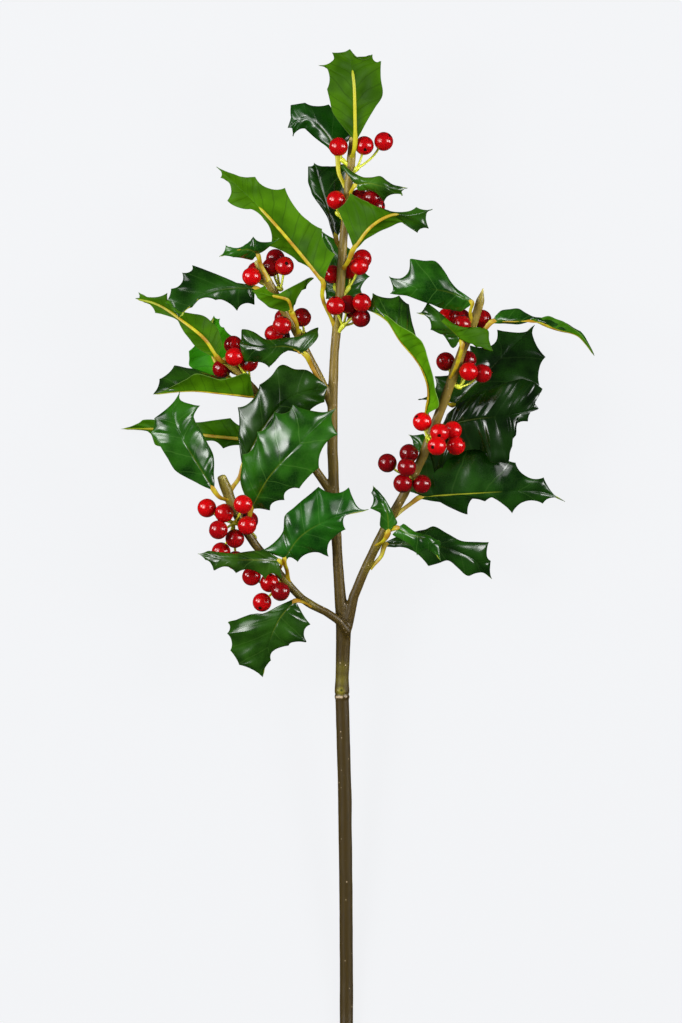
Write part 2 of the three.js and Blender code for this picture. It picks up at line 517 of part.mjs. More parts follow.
// Joins rings of points into one closed solid. Every ring has the same count, and both ends
// close on a middle point. outerFirst[i] is true where column i lies farther out than the
// next one: each four-sided patch is split from its outer corner to the inner one ahead.
function loft(rings, startMiddle, endMiddle, outerFirst) {
  const sides = rings[0].length;
  const points = rings.flat();
  points.push(startMiddle, endMiddle);
  const first = points.length - 2;
  const last = points.length - 1;
  const top = (rings.length - 1) * sides;
  const faces = [];
  for (let i = 0; i < sides; i += 1) {
    const next = (i + 1) % sides;
    faces.push([first, next, i], [last, top + i, top + next]);
    for (let k = 0; k + 1 < rings.length; k += 1) {
      const a = k * sides + i;
      const b = k * sides + next;
      const c = a + sides;
      const d = b + sides;
      if (outerFirst && !outerFirst[i]) {
        faces.push([a, b, c], [b, d, c]);
      } else {
        faces.push([a, b, d], [a, d, c]);
      }
    }
  }
  const volume = faces.reduce((sum, [a, b, c]) => {
    const normal = new THREE.Vector3().crossVectors(points[b], points[c]);
    return sum + points[a].dot(normal);
  }, 0);
  const index = faces.flatMap(([a, b, c]) => (volume > 0 ? [a, b, c] : [a, c, b]));
  const geometry = new THREE.BufferGeometry();
  const positions = points.flatMap((p) => [p.x, p.y, p.z]);
  geometry.setAttribute("position", new THREE.Float32BufferAttribute(positions, 3));
  geometry.setIndex(index);
  return geometry;
}

function fuse(geometries) {
  const solids = geometries.map((geometry) => new wasm.Manifold(new wasm.Mesh({
    numProp: 3,
    vertProperties: Float32Array.from(geometry.getAttribute("position").array),
    triVerts: Uint32Array.from(geometry.getIndex().array),
  })));
  const mesh = solids.reduce((sum, solid) => sum.add(solid)).getMesh();
  const joined = new THREE.BufferGeometry();
  joined.setAttribute("position", new THREE.Float32BufferAttribute(mesh.vertProperties, 3));
  joined.setIndex(Array.from(mesh.triVerts));
  return joined;
}

// A ring round an axis. The first facet of it faces away from the up direction.
function ringRound(centre, axis, up, radius, sides) {
  const high = perpendicular(up, axis);
  const side = new THREE.Vector3().crossVectors(axis, high);
  const ring = [];
  for (let i = 0; i < sides; i += 1) {
    const angle = (2 * Math.PI * (i + 0.5)) / sides;
    ring.push(centre.clone()
      .addScaledVector(high, -radius * Math.cos(angle))
      .addScaledVector(side, radius * Math.sin(angle)));
  }
  return ring;
}

function tangentAt(points, k) {
  const before = points[Math.max(k - 1, 0)];
  const after = points[Math.min(k + 1, points.length - 1)];
  return after.clone().sub(before).normalize();
}

function tube(points, radii, sides) {
  const rings = points.map((p, k) => ringRound(p, tangentAt(points, k), UP, radii[k], sides));
  return loft(rings, points[0], points[points.length - 1]);
}

// ---- where a stalk springs from a branch --------------------------------------------------

function nearestOnBranch(name, place) {
  const points = BRANCHES[name];
  let best = null;
  for (let k = 0; k + 1 < points.length; k += 1) {
    const a = points[k];
    const b = points[k + 1];
    const dx = b[0] - a[0];
    const dy = b[1] - a[1];
    const along = ((place[0] - a[0]) * dx + (place[1] - a[1]) * dy) / (dx * dx + dy * dy);
    const t = THREE.MathUtils.clamp(along, 0, 1);
    const centre = between(vec(a), vec(b), t);
    const distance = Math.hypot(place[0] - centre.x, place[1] - centre.y);
    if (!best || distance < best.distance) {
      const axis = vec(b).sub(vec(a)).normalize();
      best = { distance, centre, axis, radius: mix(a[3], b[3], t) };
    }
  }
  return best;
}

function footOnBark(name, place, target) {
  const { centre, axis, radius } = nearestOnBranch(name, place);
  const outward = perpendicular(target.clone().sub(centre), axis);
  return { point: step(centre, outward, radius + BARK_GAP), outward };
}

// ---- leaves -------------------------------------------------------------------------------
// Ten columns of points run round every ring of a leaf, seen from its foot: the top of the
// rib, then out to the right edge, back under the blade, out to the left edge and back.

const OUTER_FIRST = [false, false, true, true, true, false, false, true, true, true];
const STALK_ANGLES = [90, 55, 15, -20, -55, -90, -125, -160, 165, 125];
const TIP_REACH = 0.4; // how far the leaf's last spine runs on past the rib
const FIRST_VEIN = 0.06; // nearest that a vein leaves the rib to either end, share of its length
const VEIN_STEP = 0.05; // least distance between two veins along the rib
const RIB_SAMPLES = 60;

function stalkRing(centre, axis, across, width, depth, channel) {
  const side = perpendicular(across, axis);
  const high = new THREE.Vector3().crossVectors(side, axis);
  return STALK_ANGLES.map((degrees, i) => {
    const rise = (depth / 2) * Math.sin(radians(degrees)) - (i === 0 ? channel : 0);
    const reach = (width / 2) * Math.cos(radians(degrees));
    return centre.clone().addScaledVector(side, reach).addScaledVector(high, rise);
  });
}

function nearestShare(curve, point) {
  let best = 0;
  let least = Infinity;
  for (let i = 0; i <= RIB_SAMPLES; i += 1) {
    const distance = planDistance(curve.getPointAt(i / RIB_SAMPLES), point);
    if (distance < least) {
      least = distance;
      best = i / RIB_SAMPLES;
    }
  }
  return best;
}

// The places along the rib where the veins to the listed edge points leave it.
function veinShares(curve, left, right) {
  const length = curve.getLength();
  const count = left.length;
  const shares = [];
  for (let k = 0; k < count; k += 1) {
    const ends = [left[k], right[k]].map((p) => ({ x: p[0], y: p[1] }));
    const found = ends.map((p) => nearestShare(curve, p));
    const reach = ends.map((p, i) => planDistance(curve.getPointAt(found[i]), p));
    const lean = (VEIN_LEAN * (reach[0] + reach[1])) / 2 / length;
    const share = (found[0] + found[1]) / 2 - lean;
    const low = k === 0 ? FIRST_VEIN : shares[k - 1] + VEIN_STEP;
    const high = 1 - FIRST_VEIN - VEIN_STEP * (count - 1 - k);
    shares.push(THREE.MathUtils.clamp(share, low, Math.max(high, low)));
  }
  return shares;
}

// One edge of the blade in space: the listed points with a bay between each two.
function edgeOf(curve, shares, points, slope, baseEdge, lastBay) {
  const tip = curve.getPointAt(1);
  const spines = points.map((p, k) => {
    const root = curve.getPointAt(shares[k]);
    const reach = Math.hypot(p[0] - root.x, p[1] - root.y);
    const rise = Math.tan(radians(mix(slope[0], slope[1], shares[k])));
    const wave = k % 2 ? -WAVE : WAVE;
    return new THREE.Vector3(p[0], p[1], root.z + reach * (rise + wave));
  });
  const stops = [baseEdge, ...spines, tip];
  const depths = [...points.map((p) => p[2] ?? SCALLOP), lastBay];
  const at = [0, ...shares, 1];
  const bays = depths.map((depth, k) => {
    const root = curve.getPointAt((at[k] + at[k + 1]) / 2);
    const middle = between(stops[k], stops[k + 1], 0.5);
    const inward = root.clone().sub(middle);
    const room = inward.length();
    if (Array.isArray(depth)) {
      const share = planDistance(middle, { x: depth[0], y: depth[1] }) / room;
      return new THREE.Vector3(depth[0], depth[1], mix(middle.z, root.z, Math.min(share, 1)));
    }
    const pull = Math.min(depth * stops[k].distanceTo(stops[k + 1]), 0.7 * room);
    return step(middle, inward.normalize(), pull);
  });
  return { spines, bays };
}

function bladeRing(curve, share, left, right) {
  const rib = curve.getPointAt(share);
  const along = curve.getTangentAt(share);
  const toRight = right.clone().sub(rib);
  const toLeft = left.clone().sub(rib);
  const faceRight = new THREE.Vector3().crossVectors(toRight, along).normalize();
  const faceLeft = new THREE.Vector3().crossVectors(along, toLeft).normalize();
  const face = faceRight.clone().add(faceLeft).normalize();
  const half = BLADE / 2;
  const keel = half + mix(RIB_DEPTH, RIB_DEPTH_TIP, share);
  const middleRight = step(between(rib, right, 0.5), faceRight, CUP * toRight.length());
  const middleLeft = step(between(rib, left, 0.5), faceLeft, CUP * toLeft.length());
  return [
    step(rib, face, half),
    step(middleRight, faceRight, half),
    step(right, faceRight, half),
    step(right, faceRight, -half),
    step(middleRight, faceRight, -half),
    step(rib, face, -keel),
    step(middleLeft, faceLeft, -half),
    step(left, faceLeft, -half),
    step(left, faceLeft, half),
    step(middleLeft, faceLeft, half),
  ];
}

function leafGeometry({ on, foot, under, via, rib, left, right, slope, bays }) {
  const points = rib.map(vec);
  const curve = new THREE.CatmullRomCurve3(points, false, "centripetal");
  const [l, r] = under ? [right, left] : [left, right];
  const slopes = under ? [slope.slice(2), slope.slice(0, 2)] : [slope.slice(0, 2), slope.slice(2)];
  const [lastLeft, lastRight] = under ? [bays[1], bays[0]] : bays;
  const shares = veinShares(curve, l, r);

  const base = curve.getPointAt(0);
  const along = curve.getTangentAt(0);
  const flat = new THREE.Vector3().crossVectors(along, UP).multiplyScalar(under ? -1 : 1);
  const across = perpendicular(flat, along);
  const { point: start, outward } = footOnBark(on, foot, via ? vec(via) : base);

  const reach = start.distanceTo(base) / 3;
  const stalk = new THREE.CubicBezierCurve3(
    start, step(start, outward, reach), step(base, along, -reach), base,
  );
  const midway = via ? vec(via) : stalk.getPoint(0.5);
  const heading = via ? base.clone().sub(start).normalize() : stalk.getTangent(0.5);
  const rings = [
    stalkRing(start, outward, across, FOOT_WIDTH, STALK_DEPTH, STALK_CHANNEL / 2),
    stalkRing(midway, heading, across, STALK_WIDTH, STALK_DEPTH, STALK_CHANNEL),
    stalkRing(base, along, across, BASE_WIDTH, STALK_DEPTH, STALK_CHANNEL / 2),
  ];

  const cornerLeft = step(base, across, -BASE_WIDTH / 2);
  const cornerRight = step(base, across, BASE_WIDTH / 2);
  const edgeLeft = edgeOf(curve, shares, l, slopes[0], cornerLeft, lastLeft);
  const edgeRight = edgeOf(curve, shares, r, slopes[1], cornerRight, lastRight);
  const at = [0, ...shares, 1];
  for (let k = 0; k <= shares.length; k += 1) {
    const share = (at[k] + at[k + 1]) / 2;
    rings.push(bladeRing(curve, share, edgeLeft.bays[k], edgeRight.bays[k]));
    if (k < shares.length) {
      rings.push(bladeRing(curve, shares[k], edgeLeft.spines[k], edgeRight.spines[k]));
    }
  }
  const tip = curve.getPointAt(1);
  const ahead = curve.getTangentAt(1);
  const last = rings[rings.length - 1];
  const tipAcross = last[2].clone().sub(last[8]);
  rings.push(stalkRing(tip, ahead, tipAcross, TIP_WIDTH, BLADE, 0));
  return loft(rings, start, step(tip, ahead, TIP_REACH), OUTER_FIRST);
}

// ---- berries ------------------------------------------------------------------------------

// A stalk and its berry in one piece: rings along the stalk, then round the berry to its
// far pole, where the dry end of the flower sits.
function berryGeometry(knob, centre) {
  const pointing = centre.clone().sub(knob).normalize();
  const axis = pointing.lerp(UP, BERRY_TILT).normalize();
  const neck = step(centre, axis, -BERRY_RADIUS);
  const reach = knob.distanceTo(neck);
  const bend = step(neck, axis, -reach / 3);
  bend.y -= STALK_SAG * reach;
  const root = step(knob, bend.clone().sub(knob).normalize(), ROOT_REACH);
  const path = new THREE.QuadraticBezierCurve3(root, bend, neck);
  const rings = [0, 0.5, 0.95].map((t) => ringRound(
    path.getPoint(t), path.getTangent(t), UP, BERRY_STALK, BERRY_SIDES,
  ));
  for (const degrees of [45, 90, 135]) {
    const middle = step(centre, axis, -BERRY_RADIUS * Math.cos(radians(degrees)));
    const radius = BERRY_RADIUS * Math.sin(radians(degrees));
    rings.push(ringRound(middle, axis, UP, radius, BERRY_SIDES));
  }
  return loft(rings, root, step(centre, axis, BERRY_RADIUS));
}

function sprayGeometry({ on, foot, knob, berries }) {
  const middle = vec(knob);
  const { point, outward } = footOnBark(on, foot, middle);
  const swelling = new THREE.OctahedronGeometry(KNOB_RADIUS, 0);
  swelling.deleteAttribute("normal");
  swelling.deleteAttribute("uv");
  swelling.translate(middle.x, middle.y, middle.z);
  const stub = tube([point, step(point, outward, 0.5), middle], [1, 1, 0.9], STUB_SIDES);
  const grown = berries.map((centre) => berryGeometry(middle, vec(centre)));
  return fuse([stub, mergeVertices(swelling), ...grown]);
}

// ---- the stem -----------------------------------------------------------------------------

function stemGeometry() {
  return fuse(Object.entries(BRANCHES).map(([name, points]) => tube(
    points.map(vec), points.map((p) => p[3]), name === "main" ? MAIN_SIDES : BRANCH_SIDES,
  )));
}

// ---- assembly -----------------------------------------------------------------------------

const sprig = new THREE.Group();
sprig.name = "holly_sprig";

function add(name, geometry, finish) {
  const material = new THREE.MeshStandardMaterial({ ...FINISHES[finish], metalness: 0 });
  material.name = finish;
  const mesh = new THREE.Mesh(geometry, material);
  mesh.name = name;
  sprig.add(mesh);
}

add("stem", stemGeometry(), "bark");
for (const [name, spec] of Object.entries(LEAVES)) {
  add(name, leafGeometry(spec), "leaf");
}
for (const [name, spec] of Object.entries(SPRAYS)) {
  add(name, sprayGeometry(spec), "berry");
}

export default sprig;
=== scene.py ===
"""A cut sprig of holly lying down: one branched stem, spiny waxy leaves, sprays of red berries."""

import json
import math

import bmesh
import bpy
import numpy as np
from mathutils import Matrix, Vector, noise

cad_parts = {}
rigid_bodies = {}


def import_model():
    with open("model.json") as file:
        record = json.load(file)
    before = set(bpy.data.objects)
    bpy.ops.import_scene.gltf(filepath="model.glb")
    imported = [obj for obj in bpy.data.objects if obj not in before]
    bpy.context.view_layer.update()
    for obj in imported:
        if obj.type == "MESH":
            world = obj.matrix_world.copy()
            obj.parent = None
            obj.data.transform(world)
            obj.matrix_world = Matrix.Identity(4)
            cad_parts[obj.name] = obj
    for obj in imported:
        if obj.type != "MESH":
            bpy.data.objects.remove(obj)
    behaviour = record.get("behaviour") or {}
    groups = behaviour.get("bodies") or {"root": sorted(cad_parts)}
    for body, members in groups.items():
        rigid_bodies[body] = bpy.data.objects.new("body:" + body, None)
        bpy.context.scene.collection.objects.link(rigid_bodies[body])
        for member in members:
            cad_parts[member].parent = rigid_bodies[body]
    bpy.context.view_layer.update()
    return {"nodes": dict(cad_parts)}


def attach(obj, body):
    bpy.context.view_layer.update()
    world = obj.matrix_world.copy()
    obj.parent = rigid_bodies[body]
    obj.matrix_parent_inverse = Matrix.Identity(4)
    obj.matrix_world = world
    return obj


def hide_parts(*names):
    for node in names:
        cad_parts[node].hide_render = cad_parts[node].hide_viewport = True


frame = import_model()

# ---- the stem ------------------------------------------------------------------------------
# A young holly shoot with four side branches, cut from the bush. Smooth thin bark over green
# wood: brown where it is oldest, olive higher up, yellow-green round the foot of each leaf and
# at the pruned ends. A ringed scar marks where one year's growth stopped and the next began.

MM = 0.001
SAME_POINT = 0.002 * MM  # corners closer than this are one
BARK_VOXEL = 0.55 * MM  # fine enough for round branches 4 mm thick
BARK_SMOOTHING = 7  # passes that take the flats and the hard joints out of the bark
BARK_PULL = 0.6  # how far a pass draws a point to the middle of its neighbours
BARK_FULLNESS = 0.3  # mm, what the flats and the passes took off the radius
LUMP_HEIGHT = 0.12  # mm
LUMP_SIZE = 4.0  # mm across the wood
LUMP_STRETCH = 0.35  # lumps are longer along the wood: this is their width over their length
FOOT_SWELLING = 0.35  # mm, the cushion under each leaf stalk
FOOT_SPREAD = 3.0  # mm
MAIN_STEM = 9  # mm either side of the middle, which takes in no side branch at the year's ring
YEAR_RING = 168.5  # mm up the sprig
RING_WIDTH = 0.8  # mm
RING_HEIGHT = 0.3  # mm
NECK_UP = 1.4  # mm above the ring, where the next year's wood starts thinner
NECK_WIDTH = 0.5  # mm
NECK_DEPTH = 0.2  # mm
CUT_EDGE = 0.3  # mm, how far bare wood shows round the cut foot
BARE_END = 2.4  # mm, how far it shows round a pruned end
SLANT_CUT = (68.2, 373.2, 57.2)  # mm, a branch cut to a point
SLANT_LENGTH = 6.0  # mm
SLANT_POINT = 0.25  # share of the thickness left at its very tip
PRUNED_ENDS = [  # mm, where a branch was cut short
    SLANT_CUT, (3.1, 449, 48.8), (-62.6, 279.6, 49.2), (-61.8, 338.3, 40.8), (-45.2, 387, 53.6),
]
FOOT_GREEN = (0.35, 4.0)  # strength of the green round a leaf's foot, and its spread in mm
END_GREEN = (0.55, 9.0)  # the same below a pruned end
SCAR_GREEN = 0.9  # strength of the green in the clearest bud scar
BUD_SCARS = [  # place, spread and strength of the green where a bud or a twig was
    (-3.2, 171.6, 26.8, 2.0, 1.0), (-2.6, 177, 27.0, 3.4, 0.4), (-2.6, 183, 27.4, 3.4, 0.3),
    (-24.5, 220.5, 40.5, 2.2, 0.3),
]
DORMANT_BUD = (-3, 170.3, 40)  # over the dark bud in the first of them


def colour(code):
    """A hex sRGB colour as linear RGBA."""
    channels = [int(code[i:i + 2], 16) / 255 for i in (1, 3, 5)]
    return [c / 12.92 if c <= 0.04045 else ((c + 0.055) / 1.055) ** 2.4 for c in channels] + [1]


def add_node(tree, kind, inputs=(), **settings):
    """Adds a node with its settings. Its inputs, in order or by name, get a value or a link."""
    made = tree.nodes.new(kind)
    for key, value in settings.items():
        setattr(made, key, value)
    listed = inputs if isinstance(inputs, dict) else dict(enumerate(inputs))
    for key, value in listed.items():
        if isinstance(value, bpy.types.NodeSocket):
            tree.links.new(value, made.inputs[key])
        else:
            made.inputs[key].default_value = value
    return made


def new_material(name):
    """A material with only its output and shader, and the two of them."""
    material = bpy.data.materials.new(name)
    material.use_nodes = True
    tree = material.node_tree
    tree.nodes.clear()
    shader = tree.nodes.new("ShaderNodeBsdfPrincipled")
    add_node(tree, "ShaderNodeOutputMaterial", {"Surface": shader.outputs[0]})
    return material, tree, shader


def new_piece(name, mesh, node):
    """Puts a finished mesh in the scene in place of a CAD node."""
    piece = bpy.data.objects.new(name, mesh)
    bpy.context.collection.objects.link(piece)
    mesh.shade_smooth()
    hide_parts(node)
    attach(piece, "root")
    return piece


def put_values(mesh, name, values):
    """Stores one vector for each vertex of a mesh."""
    layer = mesh.attributes.new(name, "FLOAT_VECTOR", "POINT")
    layer.data.foreach_set("vector", np.asarray(values, dtype=np.float32).ravel())


def merged(node):
    """A copy of a CAD solid, with the corners that its loose triangles share made one."""
    solid = bmesh.new()
    solid.from_mesh(frame["nodes"][node].data)
    bmesh.ops.remove_doubles(solid, verts=solid.verts, dist=SAME_POINT)
    return solid


def solid_points(node):
    """The corners of a CAD solid, in millimetres, and the neighbours of each."""
    solid = merged(node)
    solid.verts.index_update()
    places = np.array([v.co[:] for v in solid.verts]) / MM
    beside = [{e.other_vert(v).index for e in v.link_edges} for v in solid.verts]
    solid.free()
    return places, beside


# The points of a ring of a leaf's solid: 0 the top of the rib, 1 and 4 halfway out on the right,
# 2 and 3 its margin, 5 under the rib, 6 and 9 halfway out on the left, 7 and 8 its margin.
RING_POINTS = 10


def leaf_rings(node):
    """The rings of points of a leaf's solid, foot to tip, each from the top of the rib round."""
    places, beside = solid_points(node)
    # The middle of an end cap has a whole ring of neighbours, each beside two others of them.
    caps = [
        v for v, near in enumerate(beside)
        if len(near) == RING_POINTS and all(len(near & beside[n]) == 2 for n in near)
    ]
    foot = max(caps, key=lambda v: np.ptp(places[list(beside[v])], axis=0).max())
    ring = beside[foot]
    done = ring | {foot}
    heads = [v for v in ring if len(beside[v] - done) == 1]
    first = min(heads, key=lambda v: np.linalg.norm(places[v] - places[foot]))
    for second in beside[first] & ring:
        order = [first, second]
        while len(order) < RING_POINTS:
            order.append(((beside[order[-1]] & ring) - set(order)).pop())
        if len(beside[order[2]] - done) == 3:
            break
    rows = [order]
    while True:
        above = set().union(*(beside[v] for v in rows[-1])) - done
        if len(above) < RING_POINTS:
            break
        row = [(beside[rows[-1][0]] & above).pop()]
        for v in rows[-1][1:]:
            row.append(((beside[v] & above & beside[row[-1]]) - set(row)).pop())
        rows.append(row)
        done |= above
    return places[np.array(rows)]


LEAF_NODES = [name for name in frame["nodes"] if name.startswith("leaf")]
SPRAY_NODES = [name for name in frame["nodes"] if name.startswith("berries")]
RINGS = {name: leaf_rings(name) for name in LEAF_NODES}


def even_skin(node):
    """The outside of a CAD solid as one even net, in which its branches flow together."""
    shoot = bpy.data.objects.new("shoot", bpy.data.meshes.new(node))
    bpy.context.collection.objects.link(shoot)
    solid = merged(node)
    solid.to_mesh(shoot.data)
    solid.free()
    skin = shoot.modifiers.new("skin", "REMESH")
    skin.mode = "VOXEL"
    skin.voxel_size = BARK_VOXEL
    ready = shoot.evaluated_get(bpy.context.evaluated_depsgraph_get())
    mesh = bpy.data.meshes.new_from_object(ready)
    bpy.data.objects.remove(shoot)
    return mesh


def smoothed(spots, edges):
    """Points drawn to the middle of their neighbours, pass by pass."""
    links = np.bincount(edges.ravel(), minlength=len(spots))[:, None]
    for _ in range(BARK_SMOOTHING):
        pulled = np.zeros_like(spots)
        np.add.at(pulled, edges[:, 0], spots[edges[:, 1]])
        np.add.at(pulled, edges[:, 1], spots[edges[:, 0]])
        spots = spots * (1 - BARK_PULL) + pulled / links * BARK_PULL
    return spots


def cut_to_point(spots):
    """Narrows the end of the branch that was cut on a slant, towards its tip."""
    cut = np.linalg.norm(spots - SLANT_CUT, axis=1)
    heart = spots[(cut > SLANT_LENGTH) & (cut < 2 * SLANT_LENGTH)].mean(axis=0)
    grain = (SLANT_CUT - heart) / np.linalg.norm(SLANT_CUT - heart)
    tip = cut < SLANT_LENGTH
    height = (spots[tip] - heart) @ grain
    core = heart + height[:, None] * grain
    down = np.max(height) - height
    slim = np.clip(SLANT_POINT + (1 - SLANT_POINT) * down / SLANT_LENGTH, 0, 1)[:, None]
    spots[tip] = core + (spots[tip] - core) * slim


bark = even_skin("stem")
bark.name = "bark"
spots = np.empty(len(bark.vertices) * 3)
bark.vertices.foreach_get("co", spots)
edges = np.empty(len(bark.edges) * 2, dtype=int)
bark.edges.foreach_get("vertices", edges)
spots = smoothed(spots.reshape(-1, 3) / MM, edges.reshape(-1, 2))
bark.vertices.foreach_set("co", (spots * MM).ravel())
bark.update()
outward = np.empty(spots.size)
bark.vertex_normals.foreach_get("vector", outward)
outward = outward.reshape(-1, 3)

# How far each point is from what makes the bark swell or turn green.
leaf_feet = np.array([RINGS[name][0].mean(axis=0) for name in LEAF_NODES])
to_foot = np.min([np.linalg.norm(spots - foot, axis=1) for foot in leaf_feet], axis=0)
to_end = np.min([np.linalg.norm(spots - end, axis=1) for end in PRUNED_ENDS], axis=0)
to_ring = spots[:, 1] - YEAR_RING
main_stem = np.abs(spots[:, 0]) < MAIN_STEM
on_ring = main_stem * np.exp(-(to_ring / RING_WIDTH) ** 2)
on_neck = main_stem * np.exp(-((to_ring - NECK_UP) / NECK_WIDTH) ** 2)
scar = np.max(
    [s[4] * np.exp(-(np.linalg.norm(spots - s[:3], axis=1) / s[3]) ** 2) for s in BUD_SCARS],
    axis=0,
)

lumps = np.array([noise.noise(Vector(p) / LUMP_SIZE) for p in spots * (1, LUMP_STRETCH, 1)])
push = BARK_FULLNESS + LUMP_HEIGHT * lumps
push += FOOT_SWELLING * np.exp(-(to_foot / FOOT_SPREAD) ** 2)
push += RING_HEIGHT * on_ring - NECK_DEPTH * on_neck
spots += outward * push[:, None]
spots[:, 2] = np.maximum(spots[:, 2], 0)
cut_to_point(spots)
bark.vertices.foreach_set("co", (spots * MM).ravel())

foot_green = FOOT_GREEN[0] * np.exp(-(to_foot / FOOT_GREEN[1]) ** 2)
end_green = END_GREEN[0] * np.exp(-(to_end / END_GREEN[1]) ** 2)
green = np.maximum.reduce([foot_green, end_green, SCAR_GREEN * scar])
cut_foot = spots[:, 1] < spots[:, 1].min() + CUT_EDGE
cut_end = np.maximum(np.exp(-(to_end / BARE_END) ** 4), cut_foot)
bud = spots[np.argmin(np.linalg.norm(spots - DORMANT_BUD, axis=1))]
put_values(bark, "growth", np.column_stack([green, on_ring ** 3, cut_end]))

# Young bark: a smooth living skin, matt with a faint wax. Long streaks of darker cork run with
# the wood, small pale pores dot it, and its green layer shows at leaf feet and cuts.
BARK_OLD = colour("#322606")
BARK_YOUNG = colour("#6f5c22")
BARK_STREAK = colour("#2c2313")
BARK_GREEN = colour("#7f7820")
BARK_PALE = colour("#b5a184")
BUD_DARK = colour("#2f3307")
BUD_RADIUS = 0.8  # mm
CUT_WOOD = colour("#a5994f")
BARK_AGES = (0.17, 0.36)  # m up the sprig, where old bark begins to look young, and does
STREAK_MM = 1.1  # width of a cork streak
STREAK_STRETCH = 0.09  # its width over its length
STREAK_NOISE = (0.5, 0.75)  # where the noise begins to be a streak, and is one
STREAK_STRENGTH = 0.5
STREAK_HEIGHT = 0.15  # mm
PORE_MM = 3.2  # from one pore to the next
PORE_SIZE = (0.12, 0.07)  # shares of that from its middle: where it begins, and is full
PORE_STRENGTH = 0.7
CRUMB_SIZE = (0.45, 0.3)  # the same for the pale crumbs of the year's ring

bark_material, tree, shader = new_material("young holly bark, grown")
place = add_node(tree, "ShaderNodeTexCoord").outputs["Object"]
height = add_node(tree, "ShaderNodeSeparateXYZ", [place]).outputs["Y"]
age = add_node(tree, "ShaderNodeMapRange", [height, *BARK_AGES], interpolation_type="SMOOTHSTEP")
stretched = add_node(tree, "ShaderNodeMapping", {"Vector": place, "Scale": (1, STREAK_STRETCH, 1)})
streaks = add_node(
    tree, "ShaderNodeTexNoise", {"Vector": stretched.outputs[0], "Scale": 1 / (STREAK_MM * MM)},
)
streak = add_node(
    tree, "ShaderNodeMapRange", [streaks.outputs[0], *STREAK_NOISE, 0, STREAK_STRENGTH],
)
growth = add_node(tree, "ShaderNodeAttribute", attribute_name="growth").outputs["Vector"]
greening, ringing, baring = add_node(tree, "ShaderNodeSeparateXYZ", [growth]).outputs
pores = add_node(tree, "ShaderNodeTexVoronoi", {"Vector": place, "Scale": 1 / (PORE_MM * MM)})
pore = add_node(
    tree, "ShaderNodeMapRange", [pores.outputs["Distance"], *PORE_SIZE, 0, PORE_STRENGTH],
)
crumbs = add_node(tree, "ShaderNodeMapRange", [pores.outputs["Distance"], *CRUMB_SIZE])
ringed = add_node(tree, "ShaderNodeMath", [ringing, crumbs.outputs[0]], operation="MULTIPLY")
dotted = add_node(
    tree, "ShaderNodeMath", [ringed.outputs[0], pore.outputs[0]], operation="MAXIMUM",
)
from_bud = add_node(
    tree, "ShaderNodeVectorMath", [place, tuple(bud * MM)], operation="DISTANCE",
).outputs["Value"]
budded = add_node(
    tree, "ShaderNodeMapRange", [from_bud, BUD_RADIUS * MM, BUD_RADIUS * MM / 2],
)
painted = add_node(
    tree, "ShaderNodeMix", {0: age.outputs[0], 6: BARK_OLD, 7: BARK_YOUNG}, data_type="RGBA",
)
layers = [
    (streak.outputs[0], BARK_STREAK), (greening, BARK_GREEN), (dotted.outputs[0], BARK_PALE),
    (budded.outputs[0], BUD_DARK), (baring, CUT_WOOD),
]
for amount, paint in layers:
    painted = add_node(
        tree, "ShaderNodeMix", {0: amount, 6: painted.outputs[2], 7: paint}, data_type="RGBA",
    )
relief = add_node(
    tree, "ShaderNodeBump",
    {"Height": streaks.outputs[0], "Strength": 0.35, "Distance": STREAK_HEIGHT * MM},
)
tree.links.new(painted.outputs[2], shader.inputs["Base Color"])
tree.links.new(relief.outputs[0], shader.inputs["Normal"])
shader.inputs["Roughness"].default_value = 0.42
shader.inputs["Specular IOR Level"].default_value = 0.28
bark.materials.append(bark_material)
new_piece("bark", bark, "stem")

# ---- the leaves ----------------------------------------------------------------------------
# Thick leathery holly leaves, each grown from the branch on a yellow stalk that runs on as the
# midrib under the blade. The upper face is dark and waxed, the under face matt and yellow-green.
# The blade puffs up between its side veins, and each vein ends in a sharp spine of the margin.

BASE_RING = 2  # the ring of a leaf's solid where its stalk becomes the blade
HALF_BLADE = 0.3  # mm, half the thickness of the blade
HALF_MARGIN = 0.13  # mm, and at its edge
THIN_EDGE = 0.8  # mm, how far in the thinning reaches
BLADE_FACE = 0.35  # mm, from the middle of the solid blade to its face
SPINE_DRAW = 2.5  # how far a bay sweeps up into its spines: 1 is straight, 2 a parabola
SHALLOW_BAY = 0.07  # share of its width; a shallower bay has no spines, only a gentle curve
LAST_SPINE = (0.4, 0.15)  # mm it runs on past the rib, and share of the solid's width at its tip
STEPS = np.array([0, 0.05, 0.14, 0.27, 0.43, 0.61, 0.8])  # rows from a spine to the next bay
RIB_COLUMNS = [0, 0.35, 0.8, 1.5]  # mm from the rib, where the blade folds most
SIDE_COLUMNS = 12  # from the rib to the margin
MARGIN_COLUMN = 0.45  # mm in from the margin, where the blade thins
LEAST_REACH = 0.05  # mm, half the width of a blade at its narrowest
VEIN_SWEEP = 0.5  # how far a side vein sweeps forward on its way out, in spines
VEIN_CURVE = 1.3  # 1 is a straight vein, more turns outward at the margin
PUFF = 0.55  # mm, rise of the blade between two side veins
PUFF_FALLS = (0.8, 0.6)  # powers: how steeply it falls to the veins, and to rib and margin
PUFF_REACH = 8  # mm from rib to margin; a narrower blade puffs up less
BUCKLE = 0.85  # mm, slow unevenness of the whole blade
BUCKLE_SIZE = 11.0  # mm
BUCKLE_FADE = 4  # mm from the rib, where it has grown to its full height
PLEATS = 2.6  # folds from one side vein to the next
PLEAT_RUN = 0.9  # changes of a fold on its way from the rib to the margin
PLEAT_HEIGHT = 0.5  # mm
PLEAT_FADES = (3, 2)  # mm from the rib and from the margin, the same
NOISE_APART = (17.3, 5.1, 2.3)  # steps from one leaf's noise to the next leaf's
